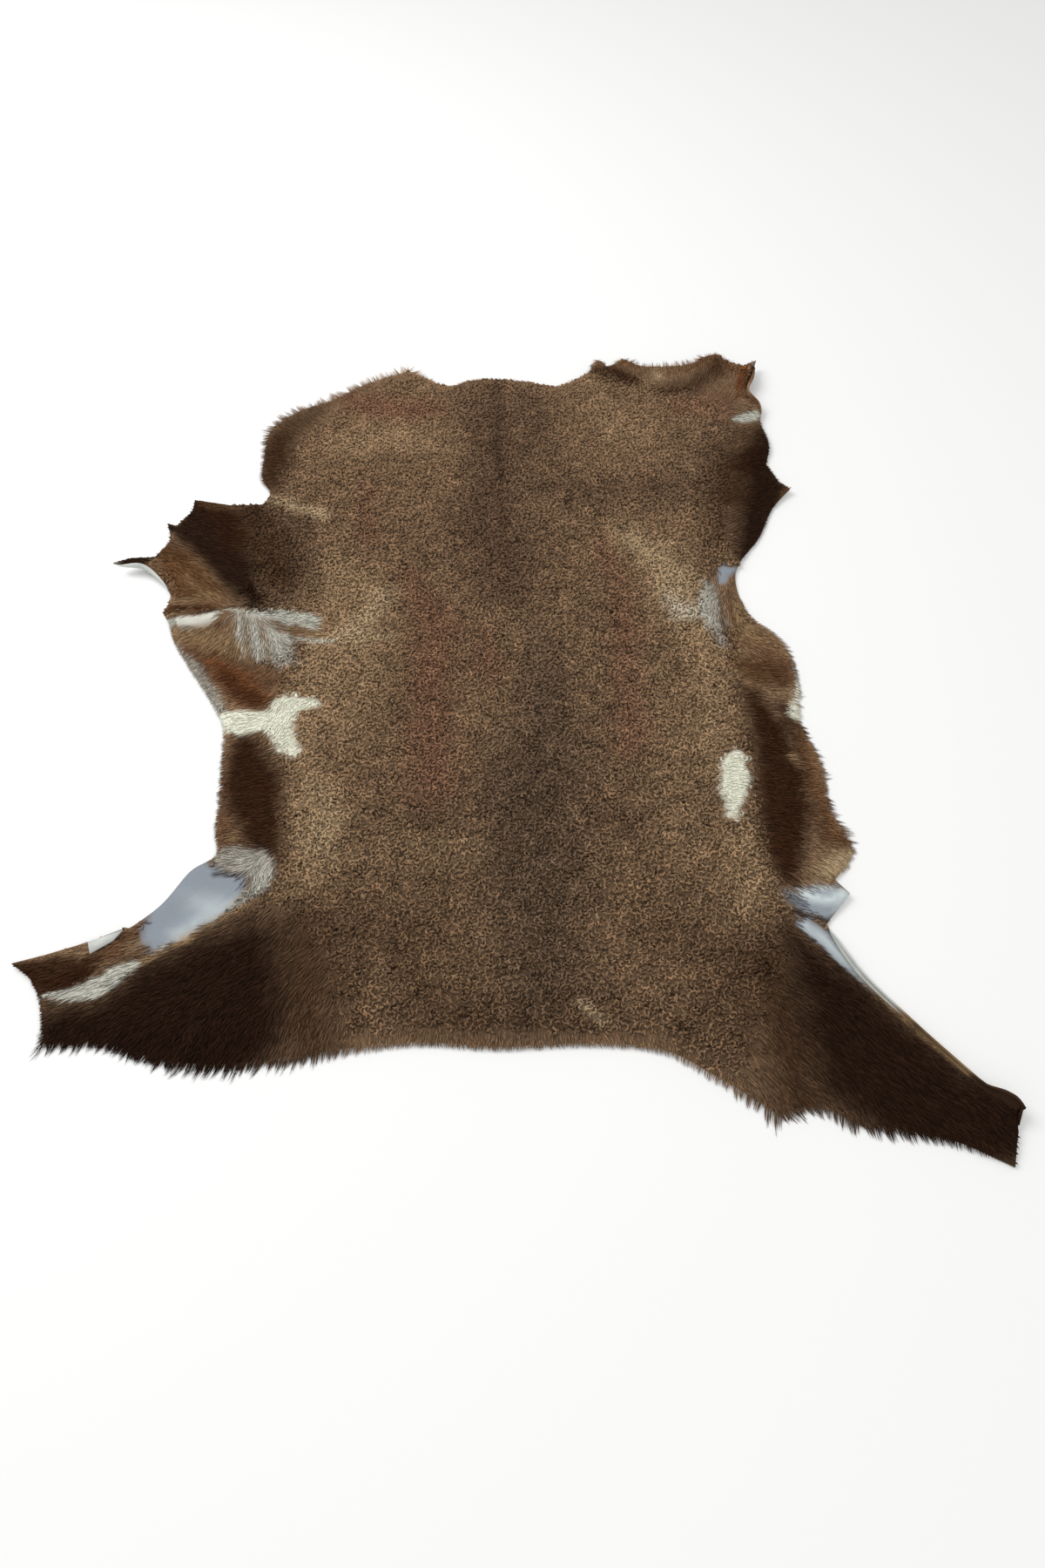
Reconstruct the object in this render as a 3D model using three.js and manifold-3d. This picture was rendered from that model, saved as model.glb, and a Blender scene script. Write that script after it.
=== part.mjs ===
// A sheepskin rug lying on the floor, fleece side up. Millimetres, +Z up.
// Places on the pelt are measured from the spine, which is x = 0, and from the middle of
// the back, which is y = 0 with the neck towards +Y. The mesh is then moved so that the
// middle of the pelt's box stands on the origin.
import * as THREE from 'three';
import { mergeVertices } from 'three/addons/utils/BufferGeometryUtils.js';
import Module from 'manifold-3d';

const wasm = await Module();
wasm.setup();

const { degToRad, lerp, smoothstep, seededRandom } = THREE.MathUtils;

// Thickness of the pelt: the tanned skin, and the wool on the back, at the edge of the
// skin and where it is worn down most. It falls from full to the edge over a strip.
const SKIN = 2;
const BACK_WOOL = 12;
const EDGE_WOOL = 2.5;
const LEAST_WOOL = 0.5;
const WOOL_FALL = 34;

// A lifted edge leaves the floor this far inside the rim
const LIFT_REACH = 80;

// Spacing of the points of the fleece, of the underside and of the rim
const TOP_STEP = 18;
const UNDER_STEP = 45;
const RIM_STEP = 15;

// Working blocks: the spare room round the pelt, their depth and the height of the prism
// that has the pelt's outline. Points closer than the last size are one point.
const BLOCK_MARGIN = 24;
const BLOCK_DEPTH = 20;
const PRISM_HEIGHT = 100;
const WELD = 1e-3;

// Locks of hair round the rim: their spacing, width and height at the root, the length of
// the root in the wool, the shortest hair that forms a lock, the sideways sweep of a tip
// as a share of the length, and how much length and thickness vary either way
const LOCK_PITCH = 16;
const LOCK_WIDE = 13;
const LOCK_HIGH = 5;
const LOCK_ROOT = 9;
const LOCK_SHORTEST = 3;
const LOCK_SWEEP = 0.35;
const LOCK_VARIES = 0.25;
const LOCK_SEED = 11;

// Rolled edges: how far the skin turns over and in how many steps, its thickness, the
// flat strip that joins it to the pelt, and the smallest radius that is rolled
const ROLL_TURN = degToRad(125);
const ROLL_STEPS = 6;
const ROLL_THICK = 2.4;
const ROLL_THICKEST = 0.6;
const ROLL_LEAD = 5;
const ROLL_SMALLEST = 2;

// Landmarks along the rim, counter-clockwise from the neck: the place that the hair tips
// or the rolled edge reach, whether the edge turns sharply there, how far the hair stands
// past the skin, the radius of a rolled edge and the lift of the edge off the floor.
const RIM = [
  { at: 'neck middle', x: 0, y: 541, hair: 6 },
  { at: 'neck left', x: -36, y: 537, hair: 6 },
  { at: 'neck left dip', x: -62, y: 526, hair: 5 },
  { at: 'left crest foot', x: -90, y: 547, hair: 7 },
  { at: 'left crest', x: -118, y: 576, hair: 13, corner: true, lift: 3 },
  { at: 'left crest end', x: -146, y: 562, hair: 11, lift: 2 },
  { at: 'left shoulder, first', x: -190, y: 545, hair: 11 },
  { at: 'left shoulder, second', x: -233, y: 514, hair: 11 },
  { at: 'left shoulder, third', x: -276, y: 492, hair: 12 },
  { at: 'left shoulder, fourth', x: -306, y: 465, hair: 12 },
  { at: 'left shoulder, fifth', x: -321, y: 434, hair: 9 },
  { at: 'left shoulder, sixth', x: -320, y: 385, hair: 7 },
  { at: 'left shoulder end', x: -318, y: 336, hair: 6 },
  { at: 'left notch, top', x: -303, y: 308, hair: 3 },
  { at: 'left notch', x: -309, y: 289, corner: true },
  { at: 'left foreleg, front', x: -349, y: 292, hair: 2 },
  { at: 'left foreleg, knee', x: -396, y: 295, corner: true, lift: 7 },
  { at: 'left foreleg, cut', x: -399, y: 275, lift: 5 },
  { at: 'left foreleg, hollow', x: -415, y: 250, corner: true, lift: 5 },
  { at: 'left foreleg, spur', x: -426, y: 253, corner: true, lift: 7 },
  { at: 'left foreleg, bend', x: -420, y: 222, lift: 6 },
  { at: 'left toe, root', x: -434, y: 191, corner: true, lift: 8 },
  { at: 'left toe, top', x: -460, y: 187, lift: 12 },
  { at: 'left toe, tip', x: -482, y: 178, corner: true, lift: 14 },
  { at: 'left toe, under', x: -473, y: 173, corner: true, lift: 11, roll: 4 },
  { at: 'left toe, curl', x: -446, y: 170, lift: 7, roll: 6 },
  { at: 'left toe, curl end', x: -421, y: 147, lift: 4, roll: 4 },
  { at: 'left elbow', x: -410, y: 126, lift: 4, hair: 2 },
  { at: 'left armpit fold, upper end', x: -413, y: 97, corner: true, lift: 5 },
  { at: 'left armpit fold, lower end', x: -407, y: 80, lift: 2, hair: 3 },
  { at: 'left flank, first', x: -399, y: 55, hair: 4 },
  { at: 'left flank, second', x: -380, y: 18, hair: 5 },
  { at: 'left flank, third', x: -351, y: -33, hair: 6 },
  { at: 'left flank, fourth', x: -331, y: -76, hair: 6 },
  { at: 'left waist', x: -329, y: -130, hair: 9 },
  { at: 'left waist, low', x: -327, y: -185, hair: 9 },
  { at: 'left flank, end', x: -327, y: -214, hair: 7 },
  { at: 'left groin', x: -321, y: -241, hair: 4 },
  { at: 'left groin, corner', x: -328, y: -251, corner: true },
  { at: 'left thigh, bare top', x: -342, y: -260 },
  { at: 'left thigh, bare middle', x: -369, y: -299 },
  { at: 'left thigh, bare end', x: -396, y: -323 },
  { at: 'left hind notch', x: -404, y: -327, corner: true, lift: 4 },
  { at: 'left hind notch, low', x: -434, y: -339, lift: 5 },
  { at: 'left hind shin', x: -473, y: -349, lift: 2 },
  { at: 'left hind toe', x: -504, y: -357, corner: true, lift: 3 },
  { at: 'left hind sole', x: -485, y: -375, hair: 2 },
  { at: 'left hind sole, low', x: -470, y: -408, hair: 3 },
  { at: 'left hind heel', x: -469, y: -453, corner: true, hair: 7 },
  { at: 'left hind hem, first', x: -412, y: -452, hair: 12 },
  { at: 'left hind hem, second', x: -362, y: -470, hair: 12 },
  { at: 'left hind hem, third', x: -310, y: -481, hair: 13 },
  { at: 'left hind hem, fourth', x: -240, y: -481, hair: 15 },
  { at: 'left rump', x: -185, y: -471, hair: 10 },
  { at: 'tail, left', x: -119, y: -465, hair: 7 },
  { at: 'tail', x: -40, y: -473, hair: 6 },
  { at: 'tail, right', x: 50, y: -475, hair: 6 },
  { at: 'right rump', x: 112, y: -486, hair: 7 },
  { at: 'right hind, back', x: 150, y: -511, hair: 8 },
  { at: 'right hind tuft', x: 206, y: -562, corner: true, hair: 15 },
  { at: 'right hind hollow', x: 241, y: -551, hair: 11 },
  { at: 'right hind hem, first', x: 270, y: -567, hair: 13 },
  { at: 'right hind hem, second', x: 316, y: -577, hair: 11 },
  { at: 'right hind hem, third', x: 360, y: -587, hair: 8 },
  { at: 'right hind heel', x: 405, y: -604, corner: true },
  { at: 'right hind sole', x: 416, y: -575, lift: 3 },
  { at: 'right hind toe', x: 427, y: -556, corner: true, lift: 6, roll: 8 },
  { at: 'right hind toe, roll', x: 416, y: -542, lift: 6, roll: 9 },
  { at: 'right hind ankle', x: 399, y: -532, corner: true, lift: 3, roll: 5 },
  { at: 'right hind shin', x: 357, y: -474, roll: 4 },
  { at: 'right hind shin, top', x: 317, y: -417, roll: 5 },
  { at: 'right thigh edge', x: 303, y: -387, roll: 5 },
  { at: 'right groin, under', x: 294, y: -361, corner: true, roll: 3 },
  { at: 'right groin flap', x: 321, y: -329, corner: true, lift: 5 },
  { at: 'right groin notch', x: 311, y: -310, corner: true },
  { at: 'right flank, end', x: 330, y: -297, hair: 6 },
  { at: 'right flank, bulge', x: 344, y: -272, hair: 8 },
  { at: 'right flank, first', x: 331, y: -222, hair: 8 },
  { at: 'right flank, second', x: 333, y: -165, hair: 8 },
  { at: 'right flank, third', x: 321, y: -102, hair: 7 },
  { at: 'right flank, fourth', x: 330, y: -55, hair: 7 },
  { at: 'right flank, fifth', x: 328, y: 5, hair: 7 },
  { at: 'right flank, top', x: 315, y: 29, hair: 6 },
  { at: 'right armpit, low', x: 291, y: 58, hair: 4 },
  { at: 'right armpit', x: 281, y: 118 },
  { at: 'right armpit, top', x: 290, y: 144, lift: 2 },
  { at: 'right elbow', x: 325, y: 188, hair: 3 },
  { at: 'right foreleg', x: 352, y: 241, hair: 3 },
  { at: 'right fore toe', x: 378, y: 273, corner: true, lift: 6 },
  { at: 'right fore toe, top', x: 367, y: 288, corner: true, lift: 4 },
  { at: 'right foreleg, notch', x: 358, y: 329, corner: true },
  { at: 'right foreleg, spur', x: 370, y: 363, hair: 3, lift: 3 },
  { at: 'right shoulder, low', x: 367, y: 414, hair: 3, lift: 4 },
  { at: 'right shoulder, bulge', x: 371, y: 441, lift: 8, roll: 4 },
  { at: 'right shoulder, hollow', x: 359, y: 475, lift: 8, roll: 5 },
  { at: 'right shoulder, rise', x: 372, y: 506, lift: 10, roll: 6 },
  { at: 'right shoulder corner', x: 380, y: 541, corner: true, lift: 12 },
  { at: 'right corner hollow', x: 361, y: 538, corner: true, lift: 8, hair: 5 },
  { at: 'right ruffle foot', x: 343, y: 549, corner: true, lift: 8, hair: 8 },
  { at: 'right ruffle', x: 328, y: 563, lift: 12, hair: 7 },
  { at: 'right ruffle end', x: 293, y: 560, corner: true, lift: 9, hair: 8 },
  { at: 'head end, right', x: 286, y: 558, lift: 6, hair: 9 },
  { at: 'head end, left', x: 220, y: 557, lift: 5, hair: 8 },
  { at: 'middle ruffle', x: 188, y: 564, lift: 9, roll: 5 },
  { at: 'ruffle gap', x: 167, y: 548, corner: true, lift: 5 },
  { at: 'left ruffle', x: 151, y: 567, lift: 9, roll: 5 },
  { at: 'left ruffle foot', x: 137, y: 545, lift: 2, hair: 4 },
  { at: 'neck right, rise', x: 118, y: 533, hair: 6 },
  { at: 'neck right dip', x: 90, y: 518, hair: 5 },
  { at: 'neck right', x: 45, y: 531, hair: 6 },
];

// Places where the coat is shorter or longer than on the back: an oval, by its middle, its
// half length and half width, the lean of its length from +X, and the height of the wool.
// The change is complete at the first share of the oval and gone at the second.
const COAT_FULL = 0.7;
const COAT_GONE = 1.15;
const COAT = [
  { at: 'left shoulder', x: -270, y: 430, long: 150, wide: 70, lean: 60, wool: 9 },
  { at: 'right shoulder', x: 310, y: 500, long: 130, wide: 100, lean: -40, wool: 8 },
  { at: 'left foreleg', x: -405, y: 205, long: 130, wide: 95, lean: 30, wool: 5 },
  { at: 'right foreleg', x: 350, y: 300, long: 150, wide: 75, lean: 75, wool: 5 },
  { at: 'left armpit', x: -325, y: 70, long: 105, wide: 60, lean: -25, wool: 5 },
  { at: 'right armpit', x: 270, y: 95, long: 75, wide: 45, lean: 80, wool: 5 },
  { at: 'left flank', x: -300, y: -140, long: 130, wide: 55, lean: 90, wool: 8 },
  { at: 'right flank', x: 305, y: -130, long: 200, wide: 55, lean: 90, wool: 8 },
  { at: 'left hind leg', x: -400, y: -400, long: 210, wide: 95, lean: -8, wool: 6 },
  { at: 'right hind leg', x: 320, y: -480, long: 200, wide: 105, lean: -52, wool: 6 },
  { at: 'left bare groin', x: -330, y: -298, long: 78, wide: 42, lean: 40, wool: 0.8 },
  { at: 'right groin', x: 295, y: -338, long: 42, wide: 34, lean: 70, wool: 1.5 },
];

// Creases and ridges across the pelt: both ends, half width, and rise above the coat
const FOLDS = [
  { at: 'neck crease', x1: 4, y1: 560, x2: 8, y2: 385, wide: 15, rise: -6 },
  { at: 'ridge left of the neck', x1: -45, y1: 560, x2: -30, y2: 420, wide: 28, rise: 3 },
  { at: 'ridge right of the neck', x1: 55, y1: 550, x2: 45, y2: 420, wide: 28, rise: 3 },
  { at: 'left armpit fold', x1: -420, y1: 97, x2: -245, y2: 84, wide: 14, rise: 6 },
  { at: 'left armpit crease', x1: -345, y1: 108, x2: -215, y2: 48, wide: 13, rise: -4 },
  { at: 'left groin crease', x1: -335, y1: -257, x2: -285, y2: -264, wide: 12, rise: -3 },
  { at: 'left groin ridge', x1: -300, y1: -246, x2: -262, y2: -270, wide: 16, rise: 4 },
  { at: 'left hind stripe', x1: -450, y1: -387, x2: -300, y2: -307, wide: 15, rise: 4 },
  { at: 'right groin fold', x1: 262, y1: -328, x2: 296, y2: -352, wide: 13, rise: 4 },
  { at: 'right hind shin ridge', x1: 305, y1: -400, x2: 395, y2: -540, wide: 20, rise: 3 },
  { at: 'first ruffle', x1: 151, y1: 575, x2: 163, y2: 508, wide: 16, rise: 8 },
  { at: 'second ruffle', x1: 188, y1: 575, x2: 198, y2: 512, wide: 16, rise: 6 },
  { at: 'third ruffle', x1: 320, y1: 572, x2: 297, y2: 505, wide: 24, rise: 8 },
  { at: 'corner ruffle', x1: 379, y1: 538, x2: 341, y2: 458, wide: 20, rise: 8 },
  { at: 'left foreleg ridge', x1: -425, y1: 190, x2: -345, y2: 130, wide: 24, rise: 4 },
];

// The uneven top of the wool: waves by their height, their lengths along X and Y, and phase
const LUMPS = [
  { high: 1.3, lengthX: 74, lengthY: 63, phase: 0.4 },
  { high: 1.1, lengthX: 61, lengthY: 92, phase: 2.1 },
  { high: 0.9, lengthX: 128, lengthY: 71, phase: 4.4 },
];

// A small corner of the left hind leg is turned over onto the hair
const FLAP = [
  { at: 'outer corner', x: -436, y: -337 },
  { at: 'inner corner', x: -430, y: -350 },
  { at: 'upper corner', x: -406, y: -326 },
];
const FLAP_THICK = 2.5;
const FLAP_SUNK = 1.5;

// Runs round the landmarks with a smooth curve from each sharp corner to the next one
function traceRim() {
  const corners = RIM.flatMap((row, index) => (row.corner ? [index] : []));
  const samples = [];
  corners.forEach((first, turn) => {
    const last = corners[(turn + 1) % corners.length];
    const spans = (last - first + RIM.length) % RIM.length;
    const rows = Array.from({ length: spans + 1 }, (_, k) => RIM[(first + k) % RIM.length]);
    const places = rows.map((row) => new THREE.Vector3(row.x, row.y, 0));
    const curve = new THREE.CatmullRomCurve3(places, false, 'centripetal');
    for (let span = 0; span < spans; span += 1) {
      const from = rows[span];
      const to = rows[span + 1];
      const steps = Math.max(1, Math.round(places[span].distanceTo(places[span + 1]) / RIM_STEP));
      for (let step = 0; step < steps; step += 1) {
        const share = step / steps;
        const { x, y } = curve.getPoint((span + share) / spans);
        const hair = lerp(from.hair ?? 0, to.hair ?? 0, share);
        const roll = lerp(from.roll ?? 0, to.roll ?? 0, share);
        const lift = lerp(from.lift ?? 0, to.lift ?? 0, share);
        samples.push({ x, y, hair, roll, lift });
      }
    }
  });
  return samples;
}

// Adds to each point of the rim its outward direction and the skin's own edge inside it
function addEdge(samples) {
  return samples.map((here, index) => {
    const before = samples.at(index - 1);
    const after = samples[(index + 1) % samples.length];
    const out = new THREE.Vector2(after.y - before.y, before.x - after.x).normalize();
    const inset = Math.max(here.hair, here.roll);
    const edge = new THREE.Vector2(here.x - out.x * inset, here.y - out.y * inset);
    return { ...here, out, edge };
  });
}

const rim = addEdge(traceRim());

function isInside(x, y) {
  let inside = false;
  rim.forEach(({ edge: b }, index) => {
    const { edge: a } = rim.at(index - 1);
    const crosses = a.y > y !== b.y > y;
    if (crosses && x < a.x + ((b.x - a.x) * (y - a.y)) / (b.y - a.y)) {
      inside = !inside;
    }
  });
  return inside;
}

// How far a place lies inside the skin's edge, and the lift of the edge nearest to it
function nearestEdge(x, y) {
  let distance = Infinity;
  let lift = 0;
  rim.forEach((b, index) => {
    const a = rim.at(index - 1);
    const dx = b.edge.x - a.edge.x;
    const dy = b.edge.y - a.edge.y;
    const along = ((x - a.edge.x) * dx + (y - a.edge.y) * dy) / (dx * dx + dy * dy);
    const share = THREE.MathUtils.clamp(along, 0, 1);
    const gap = Math.hypot(a.edge.x + dx * share - x, a.edge.y + dy * share - y);
    if (gap < distance) {
      distance = gap;
      lift = lerp(a.lift, b.lift, share);
    }
  });
  return { depth: isInside(x, y) ? distance : 0, lift };
}

function liftAt(edge) {
  return edge.lift * (1 - smoothstep(edge.depth, 0, LIFT_REACH));
}

function coatAt(x, y) {
  return COAT.reduce((wool, patch) => {
    const lean = degToRad(patch.lean);
    const along = (x - patch.x) * Math.cos(lean) + (y - patch.y) * Math.sin(lean);
    const across = (y - patch.y) * Math.cos(lean) - (x - patch.x) * Math.sin(lean);
    const reach = Math.hypot(along / patch.long, across / patch.wide);
    return lerp(patch.wool, wool, smoothstep(reach, COAT_FULL, COAT_GONE));
  }, BACK_WOOL);
}

function foldsAt(x, y) {
  return FOLDS.reduce((rise, fold) => {
    const dx = fold.x2 - fold.x1;
    const dy = fold.y2 - fold.y1;
    const along = ((x - fold.x1) * dx + (y - fold.y1) * dy) / (dx * dx + dy * dy);
    const share = THREE.MathUtils.clamp(along, 0, 1);
    const gap = Math.hypot(fold.x1 + dx * share - x, fold.y1 + dy * share - y);
    return rise + fold.rise * Math.exp(-((gap / fold.wide) ** 2));
  }, 0);
}

function lumpsAt(x, y) {
  return LUMPS.reduce((rise, lump) => {
    const waveX = Math.sin((2 * Math.PI * x) / lump.lengthX + lump.phase);
    const waveY = Math.sin((2 * Math.PI * y) / lump.lengthY - lump.phase);
    return rise + lump.high * waveX * waveY;
  }, 0);
}

// The top of the wool: full on the back, thinning to the edge, over any lift of the skin
function fleeceAt(x, y) {
  const edge = nearestEdge(x, y);
  const coat = coatAt(x, y);
  const full = smoothstep(edge.depth, -WOOL_FALL / 2, WOOL_FALL);
  const wool = lerp(Math.min(EDGE_WOOL, coat), coat + lumpsAt(x, y) * (coat / BACK_WOOL), full);
  return liftAt(edge) + SKIN + Math.max(wool + foldsAt(x, y) * full, LEAST_WOOL);
}

function undersideAt(x, y) {
  return liftAt(nearestEdge(x, y));
}

// Closed solids for joining and cutting
function toSolid(geometry) {
  geometry.deleteAttribute('normal');
  geometry.deleteAttribute('uv');
  const merged = mergeVertices(geometry, WELD);
  const vertProperties = new Float32Array(merged.attributes.position.array);
  const triVerts = new Uint32Array(merged.index.array);
  return new wasm.Manifold(new wasm.Mesh({ numProp: 3, vertProperties, triVerts }));
}

function fromPoints(points, triangles) {
  const geometry = new THREE.BufferGeometry();
  geometry.setAttribute('position', new THREE.Float32BufferAttribute(points.flat(), 3));
  geometry.setIndex(triangles.flat());
  return toSolid(geometry);
}

// A block under the whole pelt whose upper face follows a height
function reliefBlock(step, depth, heightAt) {
  const box = new THREE.Box2().setFromPoints(rim);
  const size = box.getSize(new THREE.Vector2()).addScalar(2 * BLOCK_MARGIN);
  const middle = box.getCenter(new THREE.Vector2());
  const columns = Math.round(size.x / step);
  const rows = Math.round(size.y / step);
  const block = new THREE.BoxGeometry(size.x, size.y, depth, columns, rows, 1);
  block.translate(middle.x, middle.y, -depth / 2);
  const places = block.attributes.position;
  for (let index = 0; index < places.count; index += 1) {
    if (places.getZ(index) > -depth / 2) {
      places.setZ(index, heightAt(places.getX(index), places.getY(index)));
    }
  }
  return toSolid(block);
}

function outlinePrism() {
  const shape = new THREE.Shape(rim.map(({ edge }) => edge));
  const prism = new THREE.ExtrudeGeometry(shape, { depth: PRISM_HEIGHT, bevelEnabled: false });
  prism.translate(0, 0, -BLOCK_DEPTH / 2);
  return toSolid(prism);
}

function slab() {
  const fleece = reliefBlock(TOP_STEP, BLOCK_DEPTH, fleeceAt);
  const floor = reliefBlock(UNDER_STEP, 2 * BLOCK_DEPTH, undersideAt);
  return fleece.intersect(outlinePrism()).subtract(floor);
}

// A place on the rim between two of its points
function between(a, b, share) {
  return {
    edge: a.edge.clone().lerp(b.edge, share),
    out: a.out.clone().lerp(b.out, share).normalize(),
    hair: lerp(a.hair, b.hair, share),
    lift: lerp(a.lift, b.lift, share),
  };
}

// A lock has three sides and lies flat on the floor, or level with a lifted edge
const LOCK_FACES = [[0, 1, 2], [0, 3, 1], [1, 3, 2], [2, 3, 0]];

function eitherWay(most) {
  return (2 * seededRandom() - 1) * most;
}

function hairLock({ edge, out, hair, lift }) {
  const across = new THREE.Vector2(-out.y, out.x);
  const length = hair * (1 + eitherWay(LOCK_VARIES));
  const sweep = length * eitherWay(LOCK_SWEEP);
  const half = (LOCK_WIDE / 2) * (1 + eitherWay(LOCK_VARIES));
  const high = LOCK_HIGH * (1 + eitherWay(LOCK_VARIES));
  const place = (reach, side, rise) => [
    edge.x + out.x * reach + across.x * side,
    edge.y + out.y * reach + across.y * side,
    lift + rise,
  ];
  const root = [place(-LOCK_ROOT, -half, 0), place(-LOCK_ROOT, 0, high), place(-LOCK_ROOT, half, 0)];
  return fromPoints([...root, place(length, sweep, 0)], LOCK_FACES);
}

function locks() {
  seededRandom(LOCK_SEED);
  const found = [];
  let toNext = LOCK_PITCH;
  rim.forEach((to, index) => {
    const from = rim.at(index - 1);
    const span = from.edge.distanceTo(to.edge);
    for (let reached = toNext; reached < span; reached += LOCK_PITCH) {
      const place = between(from, to, reached / span);
      if (place.hair >= LOCK_SHORTEST) {
        found.push(hairLock(place));
      }
      toNext += LOCK_PITCH;
    }
    toNext -= span;
  });
  return found;
}

// One cut across a rolled edge: flat on the floor, then up and over towards the pelt
function rollSection(sample) {
  const wall = (radius) => {
    const arc = Array.from({ length: ROLL_STEPS + 1 }, (_, step) => {
      const turned = (ROLL_TURN * step) / ROLL_STEPS;
      return { reach: radius * Math.sin(turned), rise: sample.roll - radius * Math.cos(turned) };
    });
    return [{ reach: -ROLL_LEAD, rise: arc[0].rise }, ...arc];
  };
  const thick = Math.min(ROLL_THICK, sample.roll * ROLL_THICKEST);
  const place = ({ reach, rise }) => [
    sample.edge.x + sample.out.x * reach,
    sample.edge.y + sample.out.y * reach,
    sample.lift + rise,
  ];
  return [...wall(sample.roll), ...wall(sample.roll - thick).reverse()].map(place);
}

function rolledEdge(run) {
  const sections = run.map(rollSection);
  const around = sections[0].length;
  const end = (sections.length - 1) * around;
  const triangles = [];
  for (let section = 0; section + 1 < sections.length; section += 1) {
    for (let k = 0; k < around; k += 1) {
      const a = section * around + k;
      const b = section * around + ((k + 1) % around);
      triangles.push([a, a + around, b], [b, a + around, b + around]);
    }
  }
  for (let k = 0; k + 1 < around / 2; k += 1) {
    const across = around - 1 - k;
    triangles.push([k, k + 1, across], [k + 1, across - 1, across]);
    triangles.push([end + k, end + across, end + k + 1], [end + k + 1, end + across, end + across - 1]);
  }
  return fromPoints(sections.flat(), triangles);
}

function rolls() {
  const runs = [[]];
  rim.forEach((sample) => {
    if (sample.roll >= ROLL_SMALLEST) {
      runs.at(-1).push(sample);
    } else if (runs.at(-1).length) {
      runs.push([]);
    }
  });
  return runs.filter((run) => run.length > 1).map(rolledEdge);
}

function flap() {
  const shape = new THREE.Shape(FLAP.map(({ x, y }) => new THREE.Vector2(x, y)));
  const plate = new THREE.ExtrudeGeometry(shape, { depth: FLAP_THICK, bevelEnabled: false });
  plate.translate(0, 0, fleeceAt(FLAP[1].x, FLAP[1].y) - FLAP_SUNK);
  return toSolid(plate);
}

function sheepskin() {
  const whole = [...rolls(), ...locks(), flap()].reduce((pelt, piece) => pelt.add(piece), slab());
  const { vertProperties, triVerts } = whole.getMesh();
  const geometry = new THREE.BufferGeometry();
  geometry.setAttribute('position', new THREE.BufferAttribute(vertProperties, 3));
  geometry.setIndex(new THREE.BufferAttribute(triVerts, 1));
  geometry.computeVertexNormals();
  const fleece = new THREE.MeshStandardMaterial({ color: 0x69553f, roughness: 0.95, metalness: 0 });
  const pelt = new THREE.Mesh(geometry, fleece);
  pelt.name = 'sheepskin';
  geometry.computeBoundingBox();
  const middle = geometry.boundingBox.getCenter(new THREE.Vector3());
  pelt.position.set(-middle.x, -middle.y, 0);
  return pelt;
}

const rug = new THREE.Group();
rug.add(sheepskin());

export default rug;
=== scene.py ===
"""A whole sheepskin laid flat as a rug, fleece side up, on a pale studio floor.

Places on the pelt are in millimetres from the spine, which is x = 0, and from the middle
of the back, which is y = 0 with the neck towards +Y. to_frame turns them into the frame.
"""

import math
from types import SimpleNamespace
from typing import NamedTuple

import bpy
import numpy as np
from bpy.props import FloatProperty, FloatVectorProperty, IntProperty, PointerProperty
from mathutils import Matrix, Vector
from mathutils.geometry import delaunay_2d_cdt


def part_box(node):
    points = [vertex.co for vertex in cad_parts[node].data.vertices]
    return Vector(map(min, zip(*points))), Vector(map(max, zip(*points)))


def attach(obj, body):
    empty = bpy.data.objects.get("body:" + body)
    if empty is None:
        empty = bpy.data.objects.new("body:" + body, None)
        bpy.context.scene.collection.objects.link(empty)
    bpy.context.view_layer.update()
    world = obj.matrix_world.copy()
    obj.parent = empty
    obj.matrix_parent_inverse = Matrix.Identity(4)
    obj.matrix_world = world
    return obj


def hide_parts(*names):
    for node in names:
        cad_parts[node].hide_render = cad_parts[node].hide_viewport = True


bl_info = {
    "name": "Sheepskin rug",
    "version": (1, 0, 0),
    "blender": (4, 5, 0),
    "location": "3D View > Sidebar > Sheepskin",
    "description": "Builds a whole sheepskin with curled wool, straight hair and bare skin",
    "category": "Add Mesh",
}

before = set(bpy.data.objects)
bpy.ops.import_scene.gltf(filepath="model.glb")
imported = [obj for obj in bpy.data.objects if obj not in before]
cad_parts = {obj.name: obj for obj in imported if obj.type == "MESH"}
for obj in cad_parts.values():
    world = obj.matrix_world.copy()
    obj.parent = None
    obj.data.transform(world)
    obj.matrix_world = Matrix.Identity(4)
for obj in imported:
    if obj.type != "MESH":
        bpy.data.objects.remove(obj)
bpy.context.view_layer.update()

NODE = "sheepskin"
BODY = "root"
MM = 0.001

# Where the camera stands over the pelt, in mm: along X and Y, and above the floor
EYE = (-40.0, -870.0)
EYE_HEIGHT = 1000.0

# Marks are placed as the camera sees them against the floor, but lie this much higher
MARK_HEIGHT = 9.0

# Thickness of the pelt in mm, as in the frame: the tanned skin, the wool on the back, at
# the edge and where it is worn down most, and the strip over which it falls to the edge.
# LIFT_REACH is how far in from the edge the lift of a raised toe or corner goes on.
SKIN = 2.0
BACK_WOOL = 12.0
EDGE_WOOL = 2.5
LEAST_WOOL = 0.5
WOOL_FALL = 34.0
LIFT_REACH = 80.0

# Length of straight hair in mm where nothing else is said
USUAL_HAIR = 10.0

# The wool's dense ground: its share of the wool's height, what is left of that at the edge,
# and the depths in mm between which the ground rounds off
GROUND_SHARE = 0.75
GROUND_AT_EDGE = 0.3
GROUND_ROUND = (-1, 6)


class Rim(NamedTuple):
    """A landmark of the rim: the place that hair tips or a rolled edge reach, how far the
    hair stands past the skin, the radius of a rolled edge, and the edge's lift."""

    at: str
    x: float
    y: float
    hair: float = 0
    roll: float = 0
    lift: float = 0
    corner: bool = False


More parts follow.
